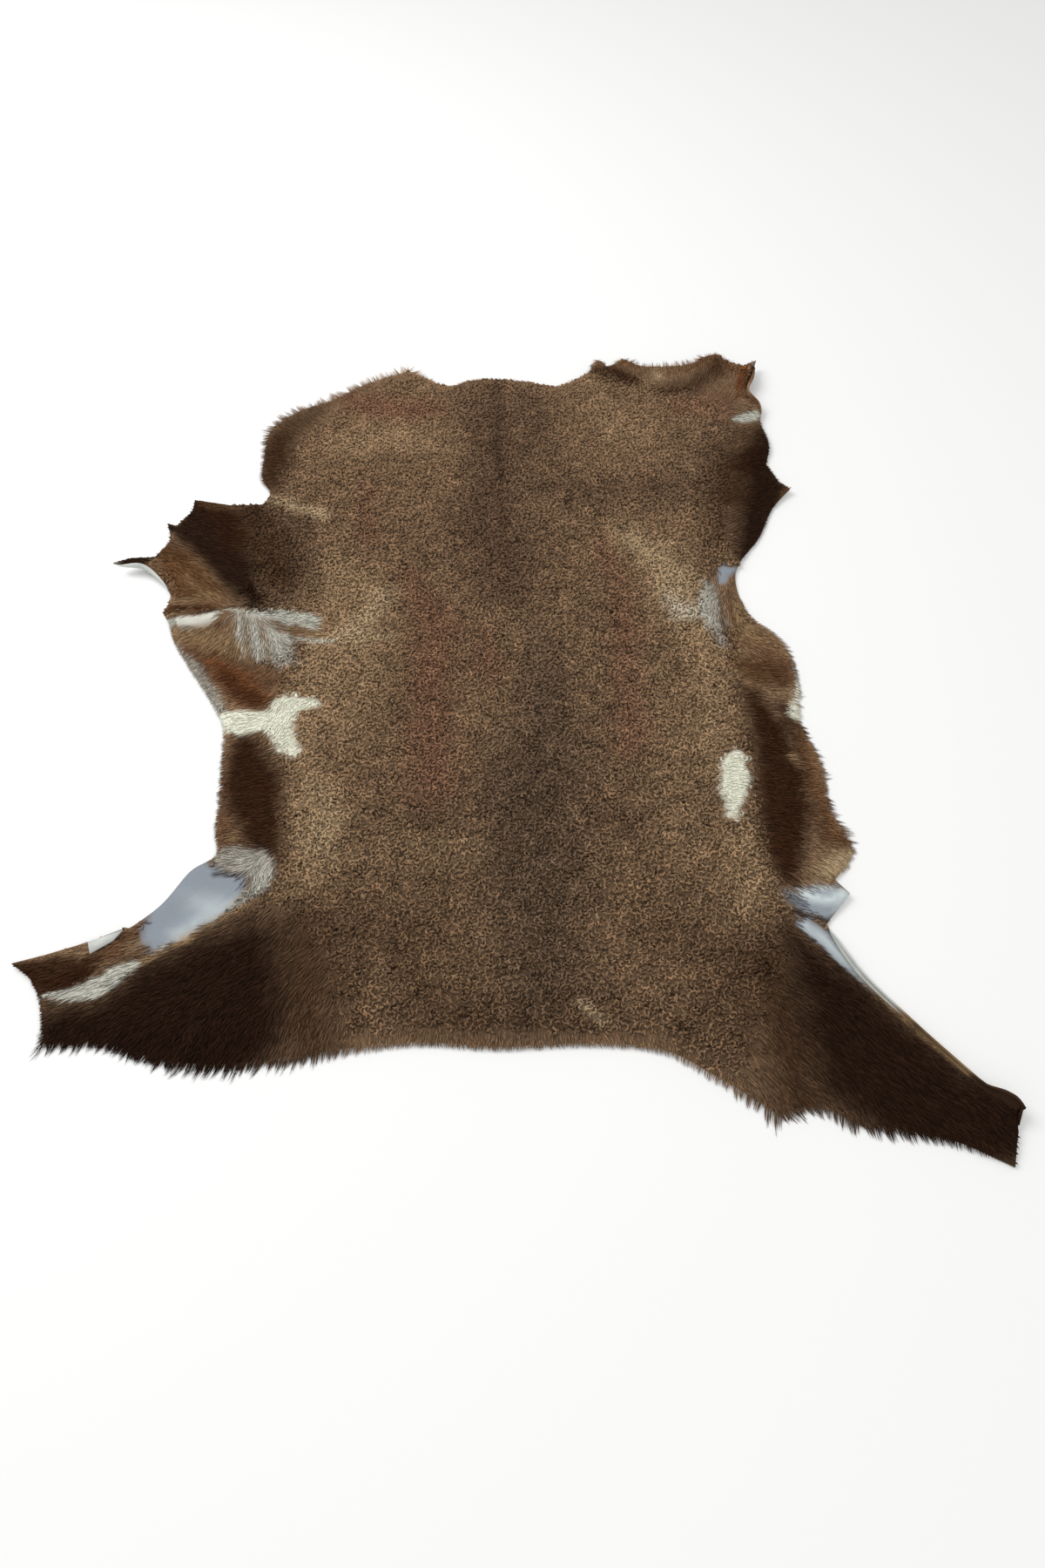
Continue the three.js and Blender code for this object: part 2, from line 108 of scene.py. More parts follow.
RIM = [
    Rim("neck middle", 0, 541, hair=6),
    Rim("neck left", -36, 537, hair=6),
    Rim("neck left dip", -62, 526, hair=5),
    Rim("left crest foot", -90, 547, hair=7),
    Rim("left crest", -118, 576, hair=15, corner=True, lift=3),
    Rim("left crest end", -146, 562, hair=14, lift=2),
    Rim("left shoulder, first", -190, 545, hair=15),
    Rim("left shoulder, second", -233, 514, hair=15),
    Rim("left shoulder, third", -276, 492, hair=15),
    Rim("left shoulder, fourth", -306, 465, hair=14),
    Rim("left shoulder, fifth", -321, 434, hair=11),
    Rim("left shoulder, sixth", -320, 385, hair=7),
    Rim("left shoulder end", -318, 336, hair=6),
    Rim("left notch, top", -303, 308, hair=3),
    Rim("left notch", -309, 289, corner=True),
    Rim("left foreleg, front", -349, 292, hair=2),
    Rim("left foreleg, knee", -396, 295, corner=True, lift=7),
    Rim("left foreleg, cut", -399, 275, lift=5),
    Rim("left foreleg, hollow", -415, 250, corner=True, lift=5),
    Rim("left foreleg, spur", -426, 253, corner=True, lift=7),
    Rim("left foreleg, bend", -420, 222, lift=6),
    Rim("left toe, root", -434, 191, corner=True, lift=8),
    Rim("left toe, top", -460, 187, lift=12),
    Rim("left toe, tip", -482, 178, corner=True, lift=14),
    Rim("left toe, under", -473, 173, corner=True, lift=11, roll=4),
    Rim("left toe, curl", -446, 170, lift=7, roll=6),
    Rim("left toe, curl end", -421, 147, lift=4, roll=4),
    Rim("left elbow", -410, 126, lift=4, hair=2),
    Rim("left armpit fold, upper end", -413, 97, corner=True, lift=5),
    Rim("left armpit fold, lower end", -407, 80, lift=2, hair=3),
    Rim("left flank, first", -399, 55, hair=4),
    Rim("left flank, second", -380, 18, hair=5),
    Rim("left flank, third", -351, -33, hair=6),
    Rim("left flank, fourth", -331, -76, hair=6),
    Rim("left waist", -329, -130, hair=9),
    Rim("left waist, low", -327, -185, hair=9),
    Rim("left flank, end", -327, -214, hair=7),
    Rim("left groin", -321, -241, hair=4),
    Rim("left groin, corner", -328, -251, corner=True),
    Rim("left thigh, bare top", -342, -260),
    Rim("left thigh, bare middle", -369, -299),
    Rim("left thigh, bare end", -396, -323),
    Rim("left hind notch", -404, -327, corner=True, lift=4),
    Rim("left hind notch, low", -434, -339, lift=5),
    Rim("left hind shin", -473, -349, lift=2),
    Rim("left hind toe", -504, -357, corner=True, lift=3),
    Rim("left hind sole", -485, -375, hair=2),
    Rim("left hind sole, low", -470, -408, hair=3),
    Rim("left hind heel", -469, -453, corner=True, hair=12),
    Rim("left hind hem, first", -412, -452, hair=12),
    Rim("left hind hem, second", -362, -470, hair=12),
    Rim("left hind hem, third", -310, -481, hair=13),
    Rim("left hind hem, fourth", -240, -481, hair=15),
    Rim("left rump", -185, -471, hair=10),
    Rim("tail, left", -119, -465, hair=7),
    Rim("tail", -40, -473, hair=6),
    Rim("tail, right", 50, -475, hair=6),
    Rim("right rump", 112, -486, hair=7),
    Rim("right hind, back", 150, -511, hair=8),
    Rim("right hind tuft", 206, -562, corner=True, hair=15),
    Rim("right hind hollow", 241, -551, hair=11),
    Rim("right hind hem, first", 270, -567, hair=13),
    Rim("right hind hem, second", 316, -577, hair=11),
    Rim("right hind hem, third", 360, -587, hair=8),
    Rim("right hind heel", 405, -604, corner=True),
    Rim("right hind sole", 416, -575, lift=3),
    Rim("right hind toe", 427, -556, corner=True, lift=6, roll=8),
    Rim("right hind toe, roll", 416, -542, lift=6, roll=9),
    Rim("right hind ankle", 399, -532, corner=True, lift=3, roll=5),
    Rim("right hind shin", 357, -474, roll=4),
    Rim("right hind shin, top", 317, -417, roll=5),
    Rim("right thigh edge", 303, -387, roll=5),
    Rim("right groin, under", 294, -361, corner=True, roll=3),
    Rim("right groin flap", 321, -329, corner=True, lift=5),
    Rim("right groin notch", 311, -310, corner=True),
    Rim("right flank, end", 330, -297, hair=8),
    Rim("right flank, bulge", 344, -272, hair=12),
    Rim("right flank, first", 332, -222, hair=12),
    Rim("right flank, second", 334, -165, hair=11),
    Rim("right flank, third", 322, -102, hair=10),
    Rim("right flank, fourth", 331, -55, hair=10),
    Rim("right flank, fifth", 328, 5, hair=10),
    Rim("right flank, top", 315, 29, hair=6),
    Rim("right armpit, low", 291, 58, hair=4),
    Rim("right armpit", 281, 118),
    Rim("right armpit, top", 290, 144, lift=2),
    Rim("right elbow", 325, 188, hair=3),
    Rim("right foreleg", 352, 241, hair=3),
    Rim("right fore toe", 378, 273, corner=True, lift=6),
    Rim("right fore toe, top", 367, 288, corner=True, lift=4),
    Rim("right foreleg, notch", 358, 329, corner=True),
    Rim("right foreleg, spur", 370, 363, hair=3, lift=3),
    Rim("right shoulder, low", 367, 414, hair=3, lift=4),
    Rim("right shoulder, bulge", 371, 441, lift=8, roll=4),
    Rim("right shoulder, hollow", 359, 475, lift=8, roll=5),
    Rim("right shoulder, rise", 372, 506, lift=10, roll=6),
    Rim("right shoulder corner", 380, 541, corner=True, lift=12),
    Rim("right corner hollow", 361, 538, corner=True, lift=8, hair=5),
    Rim("right ruffle foot", 343, 553, corner=True, lift=8, hair=8),
    Rim("right ruffle", 328, 567, lift=12, hair=10),
    Rim("right ruffle end", 293, 563, corner=True, lift=9, hair=11),
    Rim("head end, right", 286, 558, lift=6, hair=12),
    Rim("head end, left", 220, 557, lift=5, hair=12),
    Rim("middle ruffle", 188, 568, lift=9, hair=10),
    Rim("ruffle gap", 167, 552, corner=True, lift=5, hair=6),
    Rim("left ruffle", 151, 571, lift=9, hair=8),
    Rim("left ruffle foot", 137, 545, lift=2, hair=4),
    Rim("neck right, rise", 118, 533, hair=6),
    Rim("neck right dip", 90, 518, hair=5),
    Rim("neck right", 45, 531, hair=6),
]


class Oval(NamedTuple):
    """A place where the coat has its own height: middle, half length, half width, the lean
    of the length from +X in degrees, and the height."""

    at: str
    x: float
    y: float
    long: float
    wide: float
    lean: float
    wool: float


# The change is complete at the first share of the oval and gone at the second
COAT_FULL = 0.7
COAT_GONE = 1.15
COAT = [
    Oval("left shoulder", -270, 430, 150, 70, 60, 9),
    Oval("right shoulder", 310, 500, 130, 100, -40, 8),
    Oval("left foreleg", -405, 205, 130, 95, 30, 5),
    Oval("right foreleg", 350, 300, 150, 75, 75, 5),
    Oval("left armpit", -325, 70, 105, 60, -25, 5),
    Oval("right armpit", 270, 95, 75, 45, 80, 5),
    Oval("left flank", -300, -140, 130, 55, 90, 8),
    Oval("right flank", 305, -130, 200, 55, 90, 8),
    Oval("left hind leg", -400, -400, 210, 95, -8, 6),
    Oval("right hind leg", 320, -480, 200, 105, -52, 6),
    Oval("left bare groin", -330, -298, 78, 42, 40, 0.8),
    Oval("right groin", 295, -338, 42, 34, 70, 1.5),
]


class Fold(NamedTuple):
    """A crease or ridge across the pelt: both ends, half width, and rise above the coat."""

    at: str
    start: tuple
    end: tuple
    wide: float
    rise: float


FOLDS = [
    Fold("neck crease", (4, 560), (8, 385), 15, -6),
    Fold("ridge left of the neck", (-45, 560), (-30, 420), 28, 3),
    Fold("ridge right of the neck", (55, 550), (45, 420), 28, 3),
    Fold("left armpit fold", (-420, 97), (-245, 84), 14, 6),
    Fold("left armpit crease", (-345, 108), (-215, 48), 13, -4),
    Fold("left groin crease", (-335, -257), (-285, -264), 12, -3),
    Fold("left groin ridge", (-300, -246), (-262, -270), 16, 4),
    Fold("left hind stripe", (-450, -387), (-300, -307), 15, 4),
    Fold("right groin fold", (262, -328), (296, -352), 13, 4),
    Fold("right hind shin ridge", (305, -400), (395, -540), 20, 3),
    Fold("first ruffle", (151, 575), (163, 508), 16, 8),
    Fold("second ruffle", (188, 575), (198, 512), 16, 6),
    Fold("third ruffle", (320, 572), (297, 505), 24, 8),
    Fold("corner ruffle", (379, 538), (341, 458), 20, 8),
    Fold("left foreleg ridge", (-425, 190), (-345, 130), 24, 4),
]

# The uneven top of the wool: waves by their height, their lengths along X and Y, and phase
LUMPS = [(1.3, 74, 63, 0.4), (1.1, 61, 92, 2.1), (0.9, 128, 71, 4.4)]

# Random waves, by their heights and sizes: in mm the fine lumps of the wool under its
# curls, and in shares the borders of strokes, the way of the hair, the wool and the skin
TUFT_LUMPS = [(0.9, 21), (0.8, 11)]
BORDER_WAVES = [(1, 17), (0.8, 6)]
COMB_WAVES = [(0.22, 34), (0.12, 9)]
COAT_MOTTLE = [(0.10, 46), (0.09, 15)]
SKIN_MOTTLE = [(0.08, 31), (0.06, 9)]

# A small corner of the left hind leg is turned over onto the hair
FLAP = [(-431, -342), (-427, -355), (-407, -342), (-399, -331)]
FLAP_THICK = 2.0
FLAP_SUNK = 0.8

# Points of that corner with the flesh side's colour: all but the first two, under it
FLAP_FLESH = 6


class Stroke(NamedTuple):
    """A patch laid along a line of (x, y, half width), with a soft and ragged border. Its
    value is a colour's name, or a length or amount."""

    at: str
    value: object
    line: tuple
    soft: float = 12
    strength: float = 1
    ragged: float = 3


# Colours of the coat, from the broad ones on the back to small marks on the edges, with some painted shade
# in creases, folds and ruffles
MARKINGS = [
    Stroke("back left, rosy", "rosy",
           ((-120, 150, 10), (-85, 60, 24), (-100, -60, 22), (-95, -170, 26)), 50, 0.6, 6),
    Stroke("back middle, rosy", "rosy", ((-35, 45, 10), (-25, -20, 14)), 34, 0.45, 5),
    Stroke("back right, rosy", "rosy",
           ((128, 190, 10), (140, 100, 12), (132, -70, 18), (128, -130, 16)), 44, 0.6, 6),
    Stroke("shoulder left, rosy", "rosy", ((-200, 500, 16), (-140, 475, 26), (-85, 470, 12)), 50, 0.7, 5),
    Stroke("side left, rosy", "rosy", ((-175, 310, 10), (-172, 220, 12)), 36, 0.5, 5),
    Stroke("left ribs", "fawn",
           ((-215, 180, 14), (-180, 110, 38), (-205, 30, 34), (-225, -60, 24)), 70, 0.8, 8),
    Stroke("left ribs, middle", "fawn", ((-165, 20, 20), (-185, -90, 22)), 60, 0.5, 6),
    Stroke("left ribs, pale", "buff", ((-150, 120, 8), (-172, 72, 10), (-215, 52, 6)), 26, 0.5, 4),
    Stroke("left ribs, streak", "buff", ((-145, 49, 5), (-185, 52, 8), (-232, 50, 9)), 22, 0.5, 4),
    Stroke("left waist, pale", "fawn", ((-236, -90, 16), (-218, -200, 30), (-225, -285, 16)), 56, 0.8, 8),
    Stroke("left waist, spot", "buff", ((-214, -170, 12), (-212, -240, 14)), 44, 0.35, 6),
    Stroke("left blade", "fawn", ((-195, 400, 22), (-145, 420, 28), (-90, 395, 16)), 60, 0.6, 6),
    Stroke("left nape", "fawn", ((-75, 440, 10), (-55, 385, 12)), 40, 0.3, 4),
    Stroke("right nape", "fawn", ((140, 520, 8), (150, 450, 14), (160, 400, 16)), 44, 0.45, 5),
    Stroke("right blade", "fawn", ((180, 440, 18), (215, 400, 22), (225, 345, 16)), 56, 0.2, 6),
    Stroke("right ribs", "fawn",
           ((160, 205, 18), (190, 170, 28), (210, 90, 32), (218, 20, 20)), 60, 0.85, 8),
    Stroke("right ribs, pale", "buff", ((160, 190, 12), (190, 165, 20), (205, 115, 24)), 50, 0.4, 8),
    Stroke("right ribs, palest", "cream", ((194, 90, 5), (208, 74, 12), (226, 68, 12)), 30, 0.45, 6),
    Stroke("right waist", "fawn", ((228, 20, 16), (222, -80, 20), (212, -160, 12)), 44, 0.75, 6),
    Stroke("right loin", "fawn", ((228, -240, 10), (226, -300, 22), (215, -335, 10)), 44, 0.8, 6),
    Stroke("right mid", "fawn", ((165, -20, 20), (175, -180, 26), (165, -270, 20)), 80, 0.35, 6),
    Stroke("left mid", "fawn", ((-150, -250, 20), (-60, -245, 14)), 60, 0.3, 6),
    Stroke("spine, upper", "umber",
           ((-25, 440, 26), (0, 330, 36), (-20, 230, 52), (0, 130, 40)), 90, 0.85, 10),
    Stroke("spine, lower", "drab",
           ((40, 40, 8), (32, -60, 24), (12, -180, 54), (10, -300, 44), (5, -430, 26)), 80, 0.75, 10),
    Stroke("side right, drab", "umber", ((70, 300, 26), (160, 290, 26), (230, 290, 30)), 60, 0.65, 8),
    Stroke("side left, drab", "umber", ((-60, -205, 14), (-100, -215, 14)), 40, 0.6, 6),
    Stroke("side right, low drab", "umber", ((70, -190, 14), (115, -245, 10)), 40, 0.6, 6),
    Stroke("croup left", "chestnut",
           ((-215, -320, 16), (-120, -345, 24), (-100, -430, 30)), 110, 0.46, 8),
    Stroke("tail shade", "chestnut", ((-60, -440, 14), (60, -445, 14)), 50, 0.4, 6),
    Stroke("croup right", "chestnut", ((120, -350, 12), (180, -400, 30), (150, -460, 26)), 100, 0.42, 8),
    # Painted shade in the neck crease
    Stroke("neck crease", "crease_shade", ((6, 560, 5), (5, 470, 7), (0, 400, 6), (4, 320, 3)), 18, 0.7),
    Stroke("nape", "umber", ((0, 540, 30), (30, 450, 60), (40, 380, 40)), 80, 0.55, 8),
    Stroke("nape shade left", "umber", ((-35, 520, 8), (-40, 480, 10)), 34, 0.3),
    Stroke("nape shade right", "umber", ((45, 500, 8), (60, 430, 10)), 34, 0.5),
    Stroke("tail mark", "buff", ((38, -428, 3), (50, -436, 5), (58, -448, 4)), 14, 0.75, 3),
    Stroke("tail mark, dark", "umber", ((10, -400, 8), (28, -440, 8)), 22, 0.5, 3),
    Stroke("left shoulder rim", "chestnut",
           ((-190, 545, 8), (-238, 508, 14), (-275, 470, 18), (-306, 410, 28), (-312, 350, 26),
            (-308, 312, 12)), 60, 0.85),
    Stroke("left shoulder dark", "cocoa", ((-240, 480, 8), (-262, 455, 10), (-278, 430, 6)), 34, 0.5),
    Stroke("left shoulder dark, low", "cocoa",
           ((-290, 425, 12), (-296, 380, 16), (-300, 345, 12)), 40, 0.75),
    Stroke("left notch streak", "buff", ((-300, 300, 6), (-268, 283, 8), (-235, 268, 9)), 22, 0.65, 4),
    Stroke("head end", "bark",
           ((150, 575, 14), (200, 560, 24), (280, 560, 30), (350, 545, 28)), 46, 0.85),
    Stroke("head end, golden", "tan",
           ((205, 575, 5), (250, 570, 6), (310, 582, 6), (350, 560, 5)), 14, 0.55, 3),
    Stroke("first ruffle shade", "cocoa", ((150, 548, 8), (165, 535, 14), (196, 520, 10)), 22, 0.85),
    Stroke("ruffle gap shade", "cocoa", ((168, 562, 4), (180, 535, 8)), 12, 0.7),
    Stroke("second ruffle tip", "tan", ((186, 582, 4), (192, 568, 5)), 10, 0.5),
    Stroke("third ruffle shade", "cocoa",
           ((245, 497, 10), (285, 503, 14), (318, 525, 10), (326, 545, 6)), 26, 0.7),
    Stroke("head spot", "buff", ((238, 528, 5), (234, 538, 4)), 18, 0.7),
    Stroke("head mid", "tan", ((225, 540, 10), (270, 540, 10)), 30, 0.35),
    Stroke("right shoulder", "mauve", ((262, 460, 20), (318, 468, 20), (312, 430, 12)), 44, 0.8),
    Stroke("right foreleg, upper", "chestnut",
           ((330, 400, 12), (312, 345, 30), (285, 260, 24), (272, 190, 16)), 60, 0.75),
    Stroke("right foreleg dark", "sable",
           ((370, 415, 12), (365, 370, 22), (345, 335, 26), (350, 290, 28), (335, 245, 28),
            (318, 205, 22),
            (302, 165, 14)), 32, 0.97),
    Stroke("right foreleg, shoulder", "cocoa", ((352, 400, 4), (328, 340, 12), (308, 270, 18)), 36, 0.65),
    Stroke("right corner rust", "rust", ((364, 540, 4), (352, 505, 7), (340, 466, 4)), 8, 0.95),
    Stroke("right corner hair", "hazel", ((375, 535, 6), (364, 505, 4)), 8, 0.8),
    Stroke("right corner tip", "ash", ((384, 556, 4), (376, 545, 4)), 8, 0.7),
    Stroke("right bulge", "hazel", ((350, 475, 7), (368, 460, 8)), 9, 0.9),
    Stroke("right bulge notch", "sable", ((378, 448, 3), (372, 454, 3)), 6, 0.8),
    Stroke("right white wedge", "white", ((331, 428, 4), (345, 431, 9), (363, 437, 7)), 6, 0.97, 1.5),
    # Painted shade along the edge of the white wedge
    Stroke("right wedge edge", "crease_shade", ((331, 431, 1), (345, 441, 1.2), (355, 445, 1)), 3, 0.8, 0.5),
    Stroke("right fore toe", "bark", ((384, 285, 6), (372, 276, 6)), 8, 0.9, 1),
    Stroke("right armpit, tan", "tan", ((284, 110, 5), (278, 70, 9), (282, 30, 12)), 12, 0.9),
    Stroke("right armpit fan", "ash",
           ((250, 118, 7), (248, 85, 13), (246, 45, 10), (248, 18, 5)), 14, 0.9, 4),
    Stroke("right armpit fan, white", "white", ((242, 104, 6), (236, 75, 9), (240, 50, 5)), 14, 0.65, 4),
    Stroke("right armpit bare", "bare", ((290, 143, 4), (272, 141, 9), (266, 124, 6)), 6, 1, 1),
    Stroke("right armpit streak", "chestnut", ((262, 100, 1.5), (256, 60, 2), (254, 25, 3)), 5, 0.8, 1),
    Stroke("right armpit streak, outer", "hazel",
           ((272, 108, 1.5), (268, 70, 2), (270, 35, 2)), 5, 0.8, 1),
    # Painted shade in the crease of the right armpit
    Stroke("right armpit crease", "sable",
           ((262, 146, 1.5), (252, 130, 1.5), (246, 118, 1)), 4, 0.8, 0.5),
    Stroke("right flank, top", "tan", ((275, 20, 10), (300, 28, 14), (318, 8, 8)), 22, 0.8),
    Stroke("right flank, side", "tan", ((262, -5, 6), (262, -40, 8)), 20, 0.6),
    Stroke("right flank, upper", "bark", ((262, -15, 8), (285, -25, 22), (308, -30, 18)), 26, 0.95),
    Stroke("right flank, gold", "rust", ((272, 20, 8), (298, 10, 16), (312, -10, 12)), 30, 0.3),
    Stroke("right flank, low", "bark", ((318, -115, 14), (320, -200, 18), (326, -255, 14)), 22, 0.9),
    Stroke("right flank, edge", "tan", ((322, -120, 7), (328, -195, 10), (334, -240, 9)), 22, 0.75),
    Stroke("right flank, low gold", "rust", ((318, -120, 8), (322, -200, 12), (328, -245, 10)), 24, 0.3),
    Stroke("right flank shade", "russet", ((290, -20, 5), (304, -45, 7)), 18, 0.45),
    Stroke("right flank dark", "cocoa",
           ((266, -60, 8), (276, -100, 18), (280, -150, 24), (276, -215, 28), (266, -270, 20),
            (263, -305, 10)),
           24, 0.97),
    Stroke("right flank dark, outer", "cocoa", ((300, -80, 8), (305, -120, 10)), 14, 0.75),
    Stroke("right flank russet", "russet", ((304, -225, 8), (308, -255, 6)), 18, 0.5),
    Stroke("right flank rim", "ash", ((326, 0, 2), (329, -40, 4)), 8, 0.6),
    Stroke("right flank cream", "cream", ((330, -38, 5), (323, -62, 8), (312, -90, 7)), 9, 0.85, 2),
    Stroke("right flank spot", "tan", ((296, -150, 5), (298, -158, 4)), 8, 0.85, 2),
    Stroke("right flank fringe", "tan", ((326, -130, 3), (332, -200, 3), (338, -240, 4)), 8, 0.5),
    Stroke("right lower lobe", "tan", ((338, -275, 8), (312, -290, 12), (288, -300, 6)), 14, 0.95),
    Stroke("right lower lobe, pale", "buff", ((340, -275, 6), (314, -290, 9), (290, -300, 4)), 16, 0.6),
    Stroke("right wool spot", "cream",
           ((238, -148, 8), (233, -170, 15), (228, -196, 15), (221, -224, 7)), 9, 0.97, 4),
    Stroke("right groin lobe", "bare_pale", ((278, -320, 8), (294, -328, 20), (318, -331, 13)), 10, 1, 1),
    Stroke("right groin lobe, shade", "bare",
           ((262, -324, 5), (276, -336, 8), (300, -342, 8)), 14, 0.95, 1),
    # Painted shade in the folds of the right groin lobe
    Stroke("right groin lobe, folds", "bare",
           ((284, -312, 3), (300, -322, 4), (312, -318, 3)), 10, 0.8, 2),
    Stroke("right groin lobe, tip", "bare", ((316, -330, 3), (306, -336, 4)), 10, 0.5, 1),
    # Painted shade in the crease under the right groin lobe
    Stroke("right groin crease", "crease_shade",
           ((262, -340, 2), (280, -347, 2.5), (298, -351, 2)), 4, 0.85, 0.5),
    Stroke("right hind leg", "chestnut", ((225, -400, 20), (232, -480, 36), (222, -550, 24)), 80, 0.9),
    Stroke("right hind dark", "sable",
           ((255, -365, 12), (272, -408, 36), (292, -452, 52), (312, -505, 68), (358, -550, 58),
            (425, -572, 42)), 68, 0.98),
    Stroke("right groin strip", "bare", ((272, -354, 8), (290, -374, 11), (306, -398, 9), (326, -428, 5)),
           5, 1, 1),
    Stroke("right groin strip, pale", "bare_pale",
           ((274, -356, 4), (296, -382, 6), (320, -420, 3)), 12, 0.7, 1),
    Stroke("right groin strip, end", "tan", ((318, -415, 4), (340, -446, 6), (352, -462, 3)), 8, 0.8, 1),
    Stroke("right shin edge", "tan", ((330, -436, 3), (346, -462, 3), (390, -516, 2)), 6, 0.8, 1),
    Stroke("left foreleg", "umber", ((-325, 283, 20), (-290, 228, 44), (-270, 165, 40), (-265, 128, 18)),
           54, 0.75, 6),
    Stroke("left foreleg, inner", "chestnut",
           ((-320, 285, 18), (-300, 220, 30), (-282, 160, 26)), 44, 0.75),
    Stroke("left foreleg dark", "sable",
           ((-396, 285, 24), (-376, 250, 44), (-352, 205, 30), (-332, 165, 26), (-310, 128, 14),
            (-298, 112, 6)),
           32, 0.97),
    Stroke("left foreleg dark, top", "cocoa",
           ((-372, 292, 14), (-345, 270, 22), (-335, 225, 16)), 34, 0.85),
    Stroke("left foreleg front", "bark", ((-385, 296, 5), (-345, 290, 6)), 14, 0.5),
    Stroke("left foreleg low", "tawny",
           ((-428, 215, 10), (-404, 182, 24), (-384, 150, 26), (-358, 126, 16)),
           24, 0.95),
    Stroke("left foreleg low, dark", "chestnut",
           ((-428, 232, 6), (-412, 205, 8), (-396, 190, 6)), 24, 0.55),
    Stroke("left foreleg spur", "sable", ((-430, 264, 6), (-418, 248, 8)), 8, 0.9),
    Stroke("left foreleg sheen", "tan", ((-392, 158, 3), (-362, 130, 3)), 18, 0.45),
    Stroke("left elbow, light", "tan", ((-404, 122, 5), (-380, 124, 7), (-352, 126, 6)), 12, 0.6),
    Stroke("left elbow", "russet", ((-404, 110, 6), (-376, 109, 7), (-352, 108, 4)), 8, 0.9),
    Stroke("left toe", "sable", ((-492, 188, 13), (-458, 196, 13), (-436, 204, 6)), 8, 0.95, 1),
    Stroke("left toe, tip", "ash", ((-494, 186, 5), (-482, 190, 3)), 8, 0.5, 1),
    Stroke("left armpit hair", "tan", ((-388, 75, 12), (-355, 62, 20), (-330, 45, 20)), 18, 0.95),
    Stroke("left armpit brown", "hazel", ((-344, 98, 6), (-342, 84, 5)), 8, 0.6),
    Stroke("left armpit fan", "ash", ((-322, 98, 10), (-302, 72, 22), (-284, 45, 24), (-270, 25, 16)),
           16, 0.9, 5),
    Stroke("left armpit fan, tan", "tan", ((-322, 16, 8), (-290, 2, 12)), 18, 0.7, 5),
    Stroke("left fan, first streak", "white", ((-326, 104, 2), (-322, 70, 3), (-316, 40, 1)), 5, 0.6, 1),
    Stroke("left fan, second streak", "tan", ((-318, 100, 1), (-312, 60, 2), (-306, 28, 2)), 5, 0.7, 1),
    Stroke("left fan, third streak", "white", ((-310, 96, 2), (-300, 55, 4), (-296, 22, 2)), 5, 0.6, 1),
    Stroke("left fan, fourth streak", "tan", ((-302, 92, 1), (-290, 55, 2), (-284, 20, 2)), 5, 0.6, 1),
    Stroke("left fan, fifth streak", "white", ((-294, 88, 2), (-278, 50, 4), (-270, 26, 2)), 5, 0.6, 1),
    Stroke("left armpit white", "white", ((-335, 108, 4), (-305, 100, 6), (-270, 90, 8), (-238, 80, 8)),
           8, 0.95, 3),
    Stroke("left armpit white, low", "white", ((-280, 68, 5), (-250, 54, 5), (-212, 45, 4)), 8, 0.85, 3),
    Stroke("left armpit gap", "tan", ((-262, 74, 2), (-240, 62, 4), (-225, 62, 6)), 6, 0.7, 1),
    Stroke("left armpit line", "sable",
           ((-345, 112, 1), (-318, 116, 2), (-298, 104, 1.5), (-285, 98, 1)), 4, 0.8, 1),
    # Painted shade in the crease under the left armpit fold
    Stroke("left armpit crease", "umber", ((-268, 64, 1.5), (-252, 50, 2), (-238, 44, 1)), 4, 0.7, 1),
    Stroke("left armpit strip", "white",
           ((-412, 93, 2), (-397, 93, 5), (-375, 92, 7), (-358, 95, 7), (-350, 102, 4)), 4, 1, 0.8),
    Stroke("left armpit strip, shade", "ash", ((-404, 88, 2), (-380, 85, 3), (-358, 88, 3)), 6, 0.8, 0.5),
    # Painted shade along the edge of the bare strip
    Stroke("left armpit strip edge", "crease_shade",
           ((-374, 102, 1), (-360, 103, 1.5), (-347, 107, 1)), 2, 0.9, 0.5),
    Stroke("left flank brown", "hazel", ((-376, 45, 12), (-330, 15, 26), (-285, -5, 20)), 24, 0.8),
    Stroke("left flank rim", "ash",
           ((-396, 55, 5), (-371, 16, 10), (-345, -24, 12), (-334, -52, 9)), 10, 0.85),
    Stroke("left flank rust", "rust",
           ((-348, 30, 6), (-332, 6, 14), (-310, -14, 18), (-292, -34, 14)), 18, 0.9),
    Stroke("left flank rust, dark", "russet", ((-335, 8, 6), (-312, -20, 12), (-290, -40, 10)), 16, 0.8),
    Stroke("left flank dark", "cocoa",
           ((-298, -100, 16), (-290, -150, 32), (-278, -205, 26), (-262, -248, 13)), 26, 0.97),
    Stroke("left flank outer", "hazel",
           ((-322, -110, 5), (-324, -180, 6), (-312, -215, 12), (-306, -232, 12)), 14, 0.8),
    Stroke("left flank marks", "tan", ((-292, -205, 4), (-302, -222, 5)), 10, 0.5),
    Stroke("left cream patch", "cream",
           ((-334, -56, 8), (-305, -67, 15), (-278, -66, 15), (-258, -60, 12)),
           9, 0.98, 3),
    Stroke("left cream patch, up", "cream",
           ((-262, -52, 12), (-243, -46, 9), (-226, -46, 9)), 8, 0.95, 5),
    Stroke("left cream patch, down", "cream",
           ((-272, -76, 14), (-258, -94, 12), (-247, -114, 6)), 8, 0.95, 4),
    Stroke("left groin hair", "ash", ((-308, -246, 12), (-276, -252, 15)), 10, 0.97, 4),
    Stroke("left hind leg", "chestnut", ((-222, -335, 16), (-215, -400, 38), (-208, -465, 22)), 80, 0.85),
    Stroke("left hind dark", "sable",
           ((-460, -425, 34), (-400, -430, 50), (-345, -400, 62), (-300, -375, 56), (-275, -350, 40),
            (-285, -430, 58)), 70, 0.98),
    Stroke("left hind dark, hem", "sable",
           ((-430, -448, 24), (-370, -452, 34), (-300, -455, 30)), 44, 0.95),
